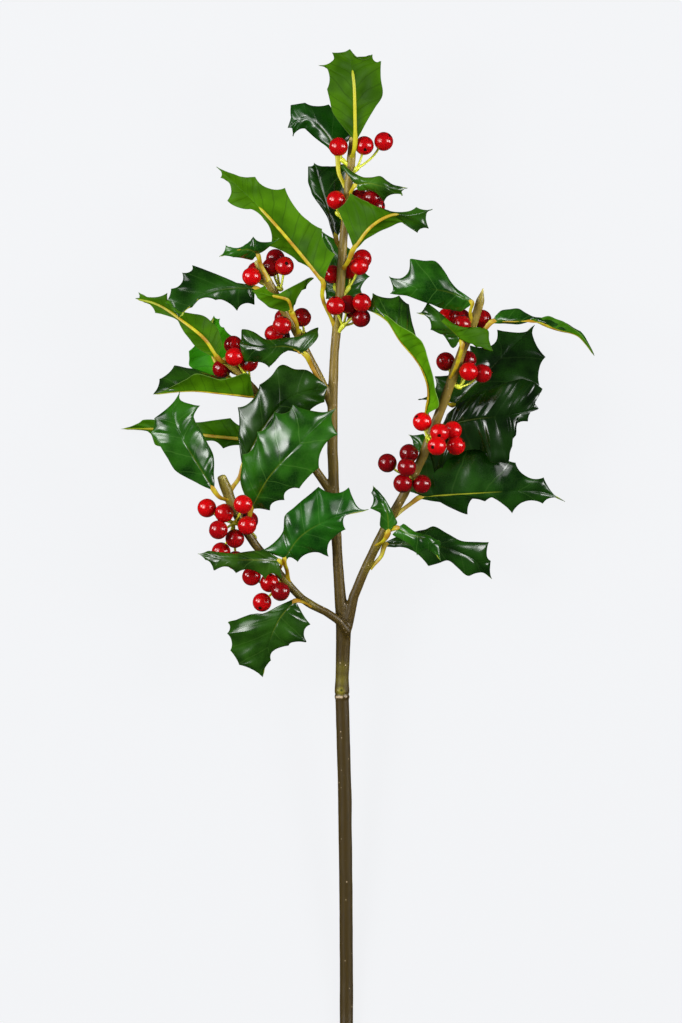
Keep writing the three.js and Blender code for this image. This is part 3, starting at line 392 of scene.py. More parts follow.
RIB_GROOVE = 0.28  # mm, depth of the channel over the midrib
GROOVE_WIDTH = 0.6  # mm from the rib to where most of it is gone
RIB_WIDTHS = (0.9, 0.4)  # mm, half the width of the midrib at the base and at the tip
RIB_DEPTHS = (1.2, 0.45)  # mm, how far it stands below the middle of the blade
RIB_TOP = 0.06  # mm below the middle of the blade, so that it stays under the groove
RIB_TAPER = 0.04  # share of the leaf over which the midrib sinks into the blade
RIB_END = 0.1  # share of its thickness left there
STALK_SIDES = 14
STALK_STEPS = 4  # from one ring of the solid to the next
STALK_FULLNESS = 1.15  # height of the round stalk over that of the solid
STALK_ROOT = 1.3  # mm, how deep the stalk is set in the bark
ROOT_FLARE = 1.15  # how much thicker it is there
CHANNEL = (0.5, 0.3)  # on top of the stalk: half its width in radians, depth in half heights


def smooth_through(points, at, fine):
    """Reads a smooth curve through points, which lie at the stations at, at the fine ones."""
    gaps = np.diff(at)[:, None]
    slopes = np.diff(points, axis=0) / gaps
    inner = (slopes[:-1] * gaps[1:] + slopes[1:] * gaps[:-1]) / (gaps[:-1] + gaps[1:])
    rates = np.vstack([slopes[:1], inner, slopes[-1:]])
    k = np.clip(np.searchsorted(at, fine, side="right") - 1, 0, len(at) - 2)
    t = ((fine - at[k]) / (at[k + 1] - at[k]))[:, None]
    ease = t * t * (3 - 2 * t)
    bend = t * (1 - t) ** 2 * gaps[k] * rates[k] - t * t * (1 - t) * gaps[k] * rates[k + 1]
    return points[k] * (1 - ease) + points[k + 1] * ease + bend


def margin_through(points):
    """The leaf's edge from spine to bay to spine, read at STEPS: sharp spines, round bays."""
    drawn = []
    last = len(points) - 1
    chords = [points[r + 2] - points[r] for r in range(0, last, 2)]
    depths = []
    for r, chord in zip(range(1, last, 2), chords):
        inward = points[r] - points[r - 1]
        width = np.linalg.norm(chord)
        flat = inward - chord * (inward @ chord) / width**2
        depths.append(np.linalg.norm(flat) / width)
    for r in range(last):
        bay = r // 2
        chord = chords[bay] / np.linalg.norm(chords[bay])
        move = points[r + 1] - points[r]
        along = chord * (move @ chord)
        spine = r if r % 2 == 0 else r + 1
        pointed = along + SPINE_DRAW * (move - along)
        beside = [depths[b] for b in (spine // 2 - 1, spine // 2) if 0 <= b < len(depths)]
        if 0 < spine < last and max(beside) < SHALLOW_BAY:
            sweep = points[spine + 1] - points[spine - 1]
            pointed = sweep / np.linalg.norm(sweep) * np.linalg.norm(move)
        start, end = (pointed, along) if r % 2 == 0 else (along, pointed)
        steps = STEPS if r % 2 == 0 else np.append([0], 1 - STEPS[:0:-1])
        t = steps[:, None]
        ease = t * t * (3 - 2 * t)
        curve = points[r] * (1 - ease) + points[r + 1] * ease
        drawn.append(curve + t * (1 - t) ** 2 * start - t * t * (1 - t) * end)
    return np.vstack(drawn + [points[-1:]])


def unit(vectors):
    """Vectors of length 1 along the last axis."""
    return vectors / np.maximum(np.linalg.norm(vectors, axis=-1, keepdims=True), 1e-9)


def lengths_along(points):
    """How far along the line through the points each of them is."""
    return np.concatenate([[0], np.cumsum(np.linalg.norm(np.diff(points, axis=0), axis=1))])


def side_columns(reach):
    """Shares of the way from the rib to the margin, for each row's reach in millimetres."""
    shares = np.empty((len(reach), SIDE_COLUMNS + 1))
    inner = len(RIB_COLUMNS) - 1
    for k, distance in enumerate(RIB_COLUMNS):
        shares[:, k] = np.minimum(distance / reach, k / SIDE_COLUMNS)
    outer = 1 - np.minimum(MARGIN_COLUMN / reach, 1 / SIDE_COLUMNS)
    spread = np.linspace(0, 1, SIDE_COLUMNS - inner)
    shares[:, inner:-1] = shares[:, inner, None] + (outer - shares[:, inner])[:, None] * spread
    shares[:, -1] = 1
    return shares


def blade_lines(rings):
    """What a blade is drawn through: its facings, its rib, each side's halfway line and margin."""
    blade = rings[BASE_RING:]
    face = unit(blade[:, 0] - blade[:, 5])
    right = (blade[:, 2] + blade[:, 3]) / 2
    left = (blade[:, 8] + blade[:, 7]) / 2
    rib = blade[:, 0] - face * BLADE_FACE
    rib[0] = (right[0] + left[0]) / 2
    reach, width = LAST_SPINE
    rib[-1] = (right[-1] + left[-1]) / 2 + unit(rib[-1] - rib[-2]) * reach
    right[-1] = rib[-1] + (right[-1] - left[-1]) * width
    left[-1] = rib[-1] * 2 - right[-1]
    sides = {
        1: ((blade[:, 1] + blade[:, 4]) / 2, right), -1: ((blade[:, 9] + blade[:, 6]) / 2, left),
    }
    for halfway, margin in sides.values():
        halfway[-1] = (rib[-1] + margin[-1]) / 2
    return face, rib, sides


def flat_blade(rings):
    """A blade before it puffs up. For each point its place, its share of the way to the margin,
    minus on the left, and the way's length. For each row its ring, its run and its facing."""
    face, rib, sides = blade_lines(rings)
    at = lengths_along(rib)
    back = np.append([0], 1 - STEPS[:0:-1])
    fine = [r + (STEPS if r % 2 == 0 else back) for r in range(len(rib) - 1)]
    ring = np.append(np.concatenate(fine), len(rib) - 1)
    along = np.interp(ring, np.arange(len(rib)), at)
    middle = smooth_through(rib, at, along)
    halves = {}
    for side, (halfway, margin) in sides.items():
        edge = margin_through(margin)
        half = smooth_through(halfway, at, along)
        reach = np.maximum(np.linalg.norm(edge - middle, axis=1), LEAST_REACH)
        v = side_columns(reach)
        weights = (1 - v) * (1 - 2 * v), 4 * v * (1 - v), v * (2 * v - 1)
        drawn = sum(w[:, :, None] * p[:, None] for w, p in zip(weights, (middle, half, edge)))
        halves[side] = drawn, side * v, np.broadcast_to(reach[:, None], v.shape)
    grid, share, reach = (
        np.concatenate([left[:, :0:-1], right], axis=1)
        for left, right in zip(halves[-1], halves[1])
    )
    return grid, share, reach, ring, along / along[-1], unit(smooth_through(face, at, along))


def rise_of(grid, share, reach, phase, seed):
    """How far each point of a blade rises: puffs between side veins, slow buckles, and pleats."""
    out = np.abs(share)
    puff = PUFF * np.abs(np.sin(math.pi * phase)) ** PUFF_FALLS[0]
    puff *= (4 * out * (1 - out)) ** PUFF_FALLS[1] * np.minimum(reach / PUFF_REACH, 1)
    shift = Vector((seed * NOISE_APART[0], seed * NOISE_APART[1], 0))
    buckle = [noise.noise(Vector(p) / BUCKLE_SIZE + shift) for p in grid.reshape(-1, 3)]
    buckle = np.array(buckle).reshape(out.shape) * BUCKLE
    buckle *= np.minimum(out * reach / BUCKLE_FADE, 1)
    turn = np.full_like(out, seed * NOISE_APART[2])
    folds = np.stack([phase * PLEATS, share * PLEAT_RUN, turn], -1).reshape(-1, 3)
    pleat = np.array([noise.noise(Vector(p)) for p in folds]).reshape(out.shape) * PLEAT_HEIGHT
    pleat *= np.minimum(out * reach / PLEAT_FADES[0], 1)
    pleat *= np.minimum((1 - out) * reach / PLEAT_FADES[1], 1)
    return puff + buckle + pleat


def skin_faces(rows, columns):
    """The faces of a closed skin: a grid of points on top, the same below, and the edge."""
    index = np.arange(rows * columns).reshape(rows, columns)
    corners = index[:-1, :-1], index[:-1, 1:], index[1:, 1:], index[1:, :-1]
    upper = np.stack(corners, axis=-1).reshape(-1, 4)
    lower = upper[:, ::-1] + rows * columns
    rim = np.concatenate([index[0], index[1:, -1], index[-1, -2::-1], index[-2:0:-1, 0]])
    ahead = np.roll(rim, -1)
    edge = np.stack([ahead, rim, rim + rows * columns, ahead + rows * columns], -1)
    return np.concatenate([upper, lower, edge])


def blade_mesh(rings, seed):
    """The closed skin of a blade: points, faces and, for each point, where on the leaf it is."""
    grid, share, reach, ring, run, facing = flat_blade(rings)
    up = unit(np.cross(np.gradient(grid, axis=1), np.gradient(grid, axis=0)))
    up *= np.sign(np.einsum("ijk,ik->ij", up, facing))[:, :, None]
    up[:, SIDE_COLUMNS] = facing
    out = np.abs(share)
    phase = ring[:, None] / 2 + VEIN_SWEEP * (1 - out) ** VEIN_CURVE
    grid = grid + up * rise_of(grid, share, reach, phase, seed)[:, :, None]
    from_rib = out * reach
    from_margin = (1 - out) * reach
    fullness = np.sqrt(np.minimum(from_margin / THIN_EDGE, 1))
    thick = HALF_MARGIN + (HALF_BLADE - HALF_MARGIN) * fullness
    groove = RIB_GROOVE * np.exp(-(from_rib / GROOVE_WIDTH) ** 2)
    top = grid + up * (thick - groove)[:, :, None]
    under = grid - up * thick[:, :, None]
    points = np.concatenate([top.reshape(-1, 3), under.reshape(-1, 3)])
    run = np.broadcast_to(run[:, None], out.shape)
    lay = np.stack([phase, share, np.zeros_like(share)], -1).reshape(-1, 3)
    grown = np.stack([run, from_rib, from_margin], -1).reshape(-1, 3)
    return points, skin_faces(*out.shape), np.vstack([lay, lay]), np.vstack([grown, grown])


def oval_cord(middle, high, side, size):
    """A cord along its middle line with a channel on top: points and faces."""
    turn = np.linspace(0, 2 * math.pi, STALK_SIDES, endpoint=False)
    channel = CHANNEL[1] * np.exp(-((turn - math.pi / 2) / CHANNEL[0]) ** 2)
    shape = side[:, None] * (size[:, :1] * np.cos(turn))[:, :, None]
    shape = shape + high[:, None] * (size[:, 1:] * (np.sin(turn) - channel))[:, :, None]
    points = (middle[:, None] + shape).reshape(-1, 3)
    index = np.arange(len(points)).reshape(-1, STALK_SIDES)
    ahead = np.roll(index, -1, axis=1)
    corners = index[:-1], ahead[:-1], ahead[1:], index[1:]
    faces = np.stack(corners, axis=-1).reshape(-1, 4)
    return points, faces.tolist() + [list(index[0, ::-1]), list(index[-1])]


def stalk_mesh(rings, end):
    """The leaf stalk and the midrib it runs on as, from in the bark to where the midrib ends:
    points, faces and, for each point, how far along the blade it is."""
    face = unit(rings[:, 0] - rings[:, 5])
    across = unit((rings[:, 2] + rings[:, 3]) - (rings[:, 7] + rings[:, 8]))
    centres = rings.mean(axis=1)
    widths = np.linalg.norm(rings[:, 2] - rings[:, 8], axis=1) / 2
    depths = np.linalg.norm(rings[:, 1] - rings[:, 4], axis=1) / 2 * STALK_FULLNESS
    rib = slice(BASE_RING + 1, None)
    share = np.linspace(0, 1, len(rings) - BASE_RING)[1:]
    below = np.interp(share, [0, 1], RIB_DEPTHS)
    widths[rib] = np.interp(share**2, [0, 1], RIB_WIDTHS)
    depths[rib] = (below - RIB_TOP) / 2
    centres[rib] = rings[rib, 0] - face[rib] * (BLADE_FACE + (below + RIB_TOP) / 2)[:, None]

    stations = np.column_stack([centres, face, across, widths, depths])
    root = stations[:1].copy()
    root[:, :3] -= unit(centres[1] - centres[0]) * STALK_ROOT
    root[:, 9:] *= ROOT_FLARE
    stations = np.vstack([root, stations])
    at = lengths_along(stations[:, :3])
    steps = np.linspace(0, len(at) - 1, (len(at) - 1) * STALK_STEPS + 1)
    fine = np.interp(steps, np.arange(len(at)), at)
    middle, high, side, size = np.split(smooth_through(stations, at, fine), [3, 6, 9], axis=1)
    ahead = unit(np.gradient(middle, axis=0))
    side = unit(side - ahead * np.sum(side * ahead, axis=1, keepdims=True))
    square = unit(np.cross(side, ahead))
    high = square * np.sign(np.sum(square * high, axis=1))[:, None]

    base = at[BASE_RING + 1]
    run = np.clip((fine - base) / (at[-1] - base), 0, 1)
    taper = np.clip((end - run) / RIB_TAPER, RIB_END, 1)[:, None]
    middle = middle + high * (1 - taper) * size[:, 1:]
    kept = run <= end
    points, faces = oval_cord(middle[kept], high[kept], side[kept], (size * taper)[kept])
    return points, faces, np.repeat(run[kept], STALK_SIDES)


# Holly leaf: a living leaf with a thick wax skin on its upper face. The wax gives bright
# reflections that break up over the puckers and along the side veins, over a deep green. The
# under face has little wax, so it looks matt, and is a lighter and yellower green, with painted
# shade in the creases along its side veins.
LEAF_DEEP = colour("#0b3103")
LEAF_FRESH = colour("#276108")
LEAF_UNDER_DEEP = colour("#356a06")
LEAF_UNDER = colour("#4c8a08")
LEAF_VEIN = colour("#5c8c38")
# Painted shade in the creases along the side veins of the under face.
LEAF_UNDER_CREASE_SHADE = colour("#284f07")
LEAF_MARGIN = colour("#7d9c55")
LEAF_RIB = colour("#b4b82c")
VEIN_LINE = (0.035, 0.035 / 3)  # spines from a side vein: where it begins, and where it is full
VEIN_STRAY = 0.3  # how far a side vein strays, in spines
VEIN_PRESS = -0.3  # how deep it is pressed in, against the height of a pucker
NET_MM = 1.6  # mesh of the fine veins
NET_LINE = (0.09, 0.02)  # shares of a mesh: where a fine vein begins, and where it is full
NET_STRENGTH = 0.06
PUCKER_MM = 6.0  # width of a pucker
CLOUD_MM = 14  # width of a paler patch
CLOUD_EDGE = (0.35, 0.65)  # where the noise begins to be a patch, and is one
CLOUD_SHEEN = (0.3, 0.7)  # the same for the wax that has worn dull
EDGE_LINE = (0.3, 0.05)  # mm from the margin: where its pale line begins, and where it is full
EDGE_STRENGTH = 0.5
RIB_LINE = (0.4, 0.15)  # mm from the rib, the same for the yellow line over it
RIB_FADE = (0.3, 0.55)  # shares of the blade's length: where it begins to fade, and is gone

# The upper and the under face: name, the two greens and the veins' green, which on the under
# face is painted shade in the creases along its veins, roughness of its even and of its dull
# places, gloss, height of a pucker in mm, side veins to each spine, and how strongly they show.
faces_of_leaf = [
    (
        "waxed holly leaf, grown", LEAF_DEEP, LEAF_FRESH, LEAF_VEIN,
        (0.14, 0.28), 0.55, 0.42, 1, 0.22,
    ),
    (
        "holly leaf under side, grown", LEAF_UNDER_DEEP, LEAF_UNDER, LEAF_UNDER_CREASE_SHADE,
        (0.42, 0.5), 0.05, 0.4, 2, 0.4,
    ),
]
leaf_materials = []
for name, deep, fresh, vein_green_and_crease_shade, roughness, gloss, puckers, crowd, shows in faces_of_leaf:
    leaf_material, tree, shader = new_material(name)
    lay, grown, tone = (
        add_node(tree, "ShaderNodeAttribute", attribute_name=stored).outputs["Vector"]
        for stored in ("lay", "grown", "tone")
    )
    past_veins = add_node(tree, "ShaderNodeSeparateXYZ", [lay]).outputs[0]
    run, from_rib, from_margin = add_node(tree, "ShaderNodeSeparateXYZ", [grown]).outputs
    light, hue, rib_shows = add_node(tree, "ShaderNodeSeparateXYZ", [tone]).outputs
    place = add_node(tree, "ShaderNodeTexCoord").outputs["Object"]
    cloud = add_node(tree, "ShaderNodeTexNoise", {"Vector": place, "Scale": 1 / (CLOUD_MM * MM)})
    pucker = add_node(
        tree, "ShaderNodeTexNoise",
        {"Vector": place, "Scale": 1 / (PUCKER_MM * MM), "Detail": 0.0},
    )
    strayed = add_node(
        tree, "ShaderNodeMath", [cloud.outputs[0], VEIN_STRAY, past_veins],
        operation="MULTIPLY_ADD",
    )
    to_vein = add_node(
        tree, "ShaderNodeMath", [strayed.outputs[0], 0.5 / crowd], operation="PINGPONG",
    )
    vein = add_node(tree, "ShaderNodeMapRange", [to_vein.outputs[0], *VEIN_LINE, 0, shows])
    net = add_node(
        tree, "ShaderNodeTexVoronoi", {"Vector": place, "Scale": 1 / (NET_MM * MM)},
        feature="DISTANCE_TO_EDGE",
    )
    fine_vein = add_node(tree, "ShaderNodeMapRange", [net.outputs[0], *NET_LINE, 0, NET_STRENGTH])
    all_veins = add_node(
        tree, "ShaderNodeMath", [vein.outputs[0], fine_vein.outputs[0]], operation="MAXIMUM",
    )
    clouded = add_node(tree, "ShaderNodeMapRange", [cloud.outputs[0], *CLOUD_EDGE])
    green = add_node(
        tree, "ShaderNodeMix", {0: clouded.outputs[0], 6: deep, 7: fresh}, data_type="RGBA",
    )
    # Vein colour: pale veins on the upper face, painted shade in the creases along them on the
    # under face.
    veined = add_node(
        tree, "ShaderNodeMix", {0: all_veins.outputs[0], 6: green.outputs[2], 7: vein_green_and_crease_shade},
        data_type="RGBA",
    )
    margin = add_node(tree, "ShaderNodeMapRange", [from_margin, *EDGE_LINE, 0, EDGE_STRENGTH])
    edged = add_node(
        tree, "ShaderNodeMix", {0: margin.outputs[0], 6: veined.outputs[2], 7: LEAF_MARGIN},
        data_type="RGBA",
    )
    # The leaf's brightness from its tone: partly its own green, partly painted shade and sheen.
    toned = add_node(
        tree, "ShaderNodeHueSaturation", {"Color": edged.outputs[2], "Value": light, "Hue": hue},
    )
    rib_left = add_node(tree, "ShaderNodeMapRange", [run, *RIB_FADE, rib_shows, 0])
    rib_line = add_node(tree, "ShaderNodeMapRange", [from_rib, *RIB_LINE, 0, rib_left.outputs[0]])
    ribbed = add_node(
        tree, "ShaderNodeMix", {0: rib_line.outputs[0], 6: toned.outputs[0], 7: LEAF_RIB},
        data_type="RGBA",
    )
    pressed = add_node(
        tree, "ShaderNodeMath", [vein.outputs[0], VEIN_PRESS, pucker.outputs[0]],
        operation="MULTIPLY_ADD",
    )
    relief = add_node(
        tree, "ShaderNodeBump",
        {"Height": pressed.outputs[0], "Strength": 0.8, "Distance": puckers * MM},
    )
    rough = add_node(
        tree, "ShaderNodeMapRange", [cloud.outputs[0], *CLOUD_SHEEN, *roughness],
    )
    tree.links.new(ribbed.outputs[2], shader.inputs["Base Color"])
    tree.links.new(rough.outputs[0], shader.inputs["Roughness"])
    tree.links.new(relief.outputs[0], shader.inputs["Normal"])
    shader.inputs["Specular IOR Level"].default_value = gloss
    leaf_materials.append(leaf_material)

# Leaf stalk and midrib: firm smooth green tissue without wax, ripened to a clear yellow, ochre
# in patches and clearest on the youngest growth, which fades to green towards the leaf's tip.
STALK_YELLOW = colour("#c2ba1b")
STALK_OCHRE = colour("#a97f10")
STALK_GREEN = colour("#8fa326")
PATCH_MM = 5  # width of an ochre patch
PATCH_EDGE = (0.4, 0.65)  # where the noise begins to be clear yellow, and is
YOUNGEST = (0.4, 0.43)  # m up the sprig, where all of a stalk begins to be clear, and is
STALK_FADE = (0.45, 1.0)  # shares of the blade's length, where the green begins, and is full

stalk_material, tree, shader = new_material("leaf stalk, grown")
grown = add_node(tree, "ShaderNodeAttribute", attribute_name="grown").outputs["Vector"]
run = add_node(tree, "ShaderNodeSeparateXYZ", [grown]).outputs[0]
place = add_node(tree, "ShaderNodeTexCoord").outputs["Object"]
cloud = add_node(tree, "ShaderNodeTexNoise", {"Vector": place, "Scale": 1 / (PATCH_MM * MM)})
height = add_node(tree, "ShaderNodeSeparateXYZ", [place]).outputs["Y"]
clear = add_node(tree, "ShaderNodeMapRange", [cloud.outputs[0], *PATCH_EDGE])
fresh = add_node(tree, "ShaderNodeMapRange", [height, *YOUNGEST])
fading = add_node(tree, "ShaderNodeMapRange", [run, *STALK_FADE])
clearest = add_node(
    tree, "ShaderNodeMath", [clear.outputs[0], fresh.outputs[0]], operation="MAXIMUM",
)
yellow = add_node(
    tree, "ShaderNodeMix", {0: clearest.outputs[0], 6: STALK_OCHRE, 7: STALK_YELLOW},
    data_type="RGBA",
)
faded = add_node(
    tree, "ShaderNodeMix", {0: fading.outputs[0], 6: yellow.outputs[2], 7: STALK_GREEN},
    data_type="RGBA",
)
tree.links.new(faded.outputs[2], shader.inputs["Base Color"])
shader.inputs["Roughness"].default_value = 0.42

# How a leaf differs from the rest: its brightness, which is partly its own green and partly
# painted shade and sheen for how it lies in the light, its hue with 0.5 for no change, how yellow
# its rib shows through the face, and how far along the blade its midrib stands out below.
LIKE_THE_REST = (1, 0.5, 0.12, 1)
LEAF_TONES_WITH_SHADE = {
    "leaf_top": (0.56, 0.49, 0.1, 0.78),
    "leaf_top_left": (0.5, 0.51, 0.1, 1),
    "leaf_crown_back": (0.5, 0.5, 0.1, 1),
    "leaf_crown_right": (1.1, 0.48, 0.12, 1),
    "leaf_front": (0.74, 0.49, 0.3, 0.62),
    "leaf_long": (0.7, 0.49, 0.1, 0.62),
    "leaf_left_dark": (0.55, 0.5, 0.05, 1),
    "leaf_hood": (0.65, 0.49, 0.1, 0.6),
    "leaf_pale": (1.25, 0.52, 0.1, 1),
    "leaf_far_left": (0.72, 0.49, 0.12, 1),
    "leaf_left_folded": (0.7, 0.49, 0.1, 1),
    "leaf_left_lower": (0.72, 0.49, 0.1, 1),
    "leaf_lowest": (0.7, 0.49, 0.12, 1),
    "leaf_low_left_flat": (0.65, 0.5, 0.1, 1),
    "leaf_heart_back": (0.45, 0.49, 0.12, 1),
    "leaf_heart_front": (0.95, 0.5, 0.15, 1),
    "leaf_low_left_gloss": (0.9, 0.5, 0.1, 1),
    "leaf_wave_right": (0.85, 0.51, 0.1, 1),
    "leaf_wave_left": (0.75, 0.48, 0.1, 1),
    "leaf_right_top": (1.1, 0.5, 0.06, 1),
    "leaf_right_long": (0.95, 0.5, 0.06, 1),
    "leaf_right_back": (0.35, 0.5, 0.05, 1),
    "leaf_right_hood": (0.7, 0.49, 0.1, 1),
    "leaf_right_big": (0.24, 0.5, 0.05, 1),
    "leaf_right_low": (0.5, 0.5, 0.7, 1),
    "leaf_twisted": (1.15, 0.49, 0.1, 1),
    "leaf_fork_left": (1.05, 0.5, 0.1, 1),
    "leaf_right_lowest": (0.5, 0.5, 0.05, 1),
}
# Where a blade has turned its other face up: from and to, in shares of its length, and on which
# half, -1 left, 1 right, 0 both.
TURNED = {"leaf_front": (0.55, 1.1, 0), "leaf_right_hood": (-0.1, 0.5, 1)}
NOT_TURNED = (2, 2, 0)

for number, name in enumerate(LEAF_NODES):
    *tone, rib_end = LEAF_TONES_WITH_SHADE.get(name, LIKE_THE_REST)
    points, faces, lay_values, grown_values = blade_mesh(RINGS[name], number + 1)
    stalk_points, stalk_faces, stalk_run = stalk_mesh(RINGS[name], rib_end)
    shifted = [[corner + len(points) for corner in f] for f in stalk_faces]
    mesh = bpy.data.meshes.new(name)
    mesh.from_pydata(np.vstack([points, stalk_points]) * MM, [], faces.tolist() + shifted)
    put_values(mesh, "lay", np.vstack([lay_values, np.zeros((len(stalk_points), 3))]))
    put_values(mesh, "grown", np.vstack([grown_values, np.outer(stalk_run, (1, 0, 0))]))
    put_values(mesh, "tone", np.tile(tone, (len(mesh.vertices), 1)))
    for material in leaf_materials + [stalk_material]:
        mesh.materials.append(material)
    below = faces.max(axis=1) >= len(points) // 2
    start, end, half = TURNED.get(name, NOT_TURNED)
    run = grown_values[faces, 0].mean(axis=1)
    share = lay_values[faces, 1].mean(axis=1)
    turned = (run > start) & (run < end) & (share * half >= 0)
    of_stalk = np.full(len(stalk_faces), len(leaf_materials))
    slots = np.append(below ^ turned, of_stalk).astype(np.int32)
    mesh.polygons.foreach_set("material_index", slots)
    new_piece(name + "_grown", mesh, name)

# ---- the berries ---------------------------------------------------------------------------
# Ripe holly berries, round and tight-skinned, each on a thin green stalk from a shared knob at
# a leaf's foot. A dimple at the far pole holds the black dry end of the flower.

BERRY_RADIUS = 4.65  # mm, of the solid
POLE_TURN = math.radians(22.5)  # half the angle from a pole of the solid to the next corners
BERRY_POLE = (6, 2 * BERRY_RADIUS * math.sin(POLE_TURN))  # how many they are, and mm to them
BERRY_SWELLING = 0.1  # mm, what the flats of the solid left out
BERRY_SEGMENTS = 32
BERRY_RINGS = 22
DIMPLE_DEPTH = 0.3  # mm
DIMPLE_SPREAD = 1.0  # mm
KNOB_RADIUS = 1.8  # mm
STUB_FOOT = (4, 1.0)  # the same from the foot of the stub that bears the knob
SAME_LENGTH = 0.02  # mm
STALK_RADIUS = 0.6  # mm
STALK_POINTS = 9
STALK_SHAPE = [1.3, 1.1] + [1] * (STALK_POINTS - 3) + [1.35, 1, 1]  # thick at both ends
STALK_SAG = 0.22  # share of its length
TUBE_SIDES = 10
ROOT_REACH = 0.6  # mm, from the middle of the knob to where a stalk starts
STUB_DEPTH = 1.2  # mm, how deep the stub is set in the bark
STUB_RADII = [1.15, 1.0, 1.35, 0.95, 0.3]  # mm, from there to the round end of the knob
KNOB_END = (1.1, 1.5)  # mm past the middle of the knob, the last two of them
NODDING = (15, 75)  # degrees, between a berry's stalk and the far pole of the berry
NOD_TRIES = 8  # of which the one nearest the ground is taken
FACING_UP = 0.25  # share of the berries that do not turn their far pole to the ground
RIPENESS = (0.2, 0.9)  # least and most, from 0 for bright red to 1 for dark
# Sprays set apart from the rest, their least and most on the same scale: two run darker, one
# brighter red.
SPRAY_DARKNESS_RANGES = {
    "berries_right_low": (0.6, 1), "berries_right_mid": (0, 0.3), "berries_middle": (0.5, 1),
}


def is_tip(places, v, near, kind):
    """Whether a corner of a solid has as many neighbours as this kind, all at its distance."""
    count, distance = kind
    far = np.linalg.norm(places[list(near)] - places[v], axis=1)
    return len(near) == count and np.all(np.abs(far - distance) < SAME_LENGTH)


def spray_parts(node):
    """Where a spray leaves the bark, its knob, and the centre and the axis of each berry."""
    places, beside = solid_points(node)
    berries = []
    feet = []
    for v, near in enumerate(beside):
        if is_tip(places, v, near, BERRY_POLE):
            axis = unit(places[v] - places[list(near)].mean(axis=0))
            berries.append((places[v] - axis * BERRY_RADIUS, axis))
        elif is_tip(places, v, near, STUB_FOOT):
            feet.append(places[v])
    # The knob is where most corners are a knob's radius away, each straight along an axis.
    corners = np.vstack([np.eye(3), -np.eye(3)]) * KNOB_RADIUS
    trials = (places[:, None] - corners[None]).reshape(-1, 3)
    votes = [np.sum(np.linalg.norm(trials - t, axis=1) < SAME_LENGTH) for t in trials]
    return feet, trials[int(np.argmax(votes))], berries


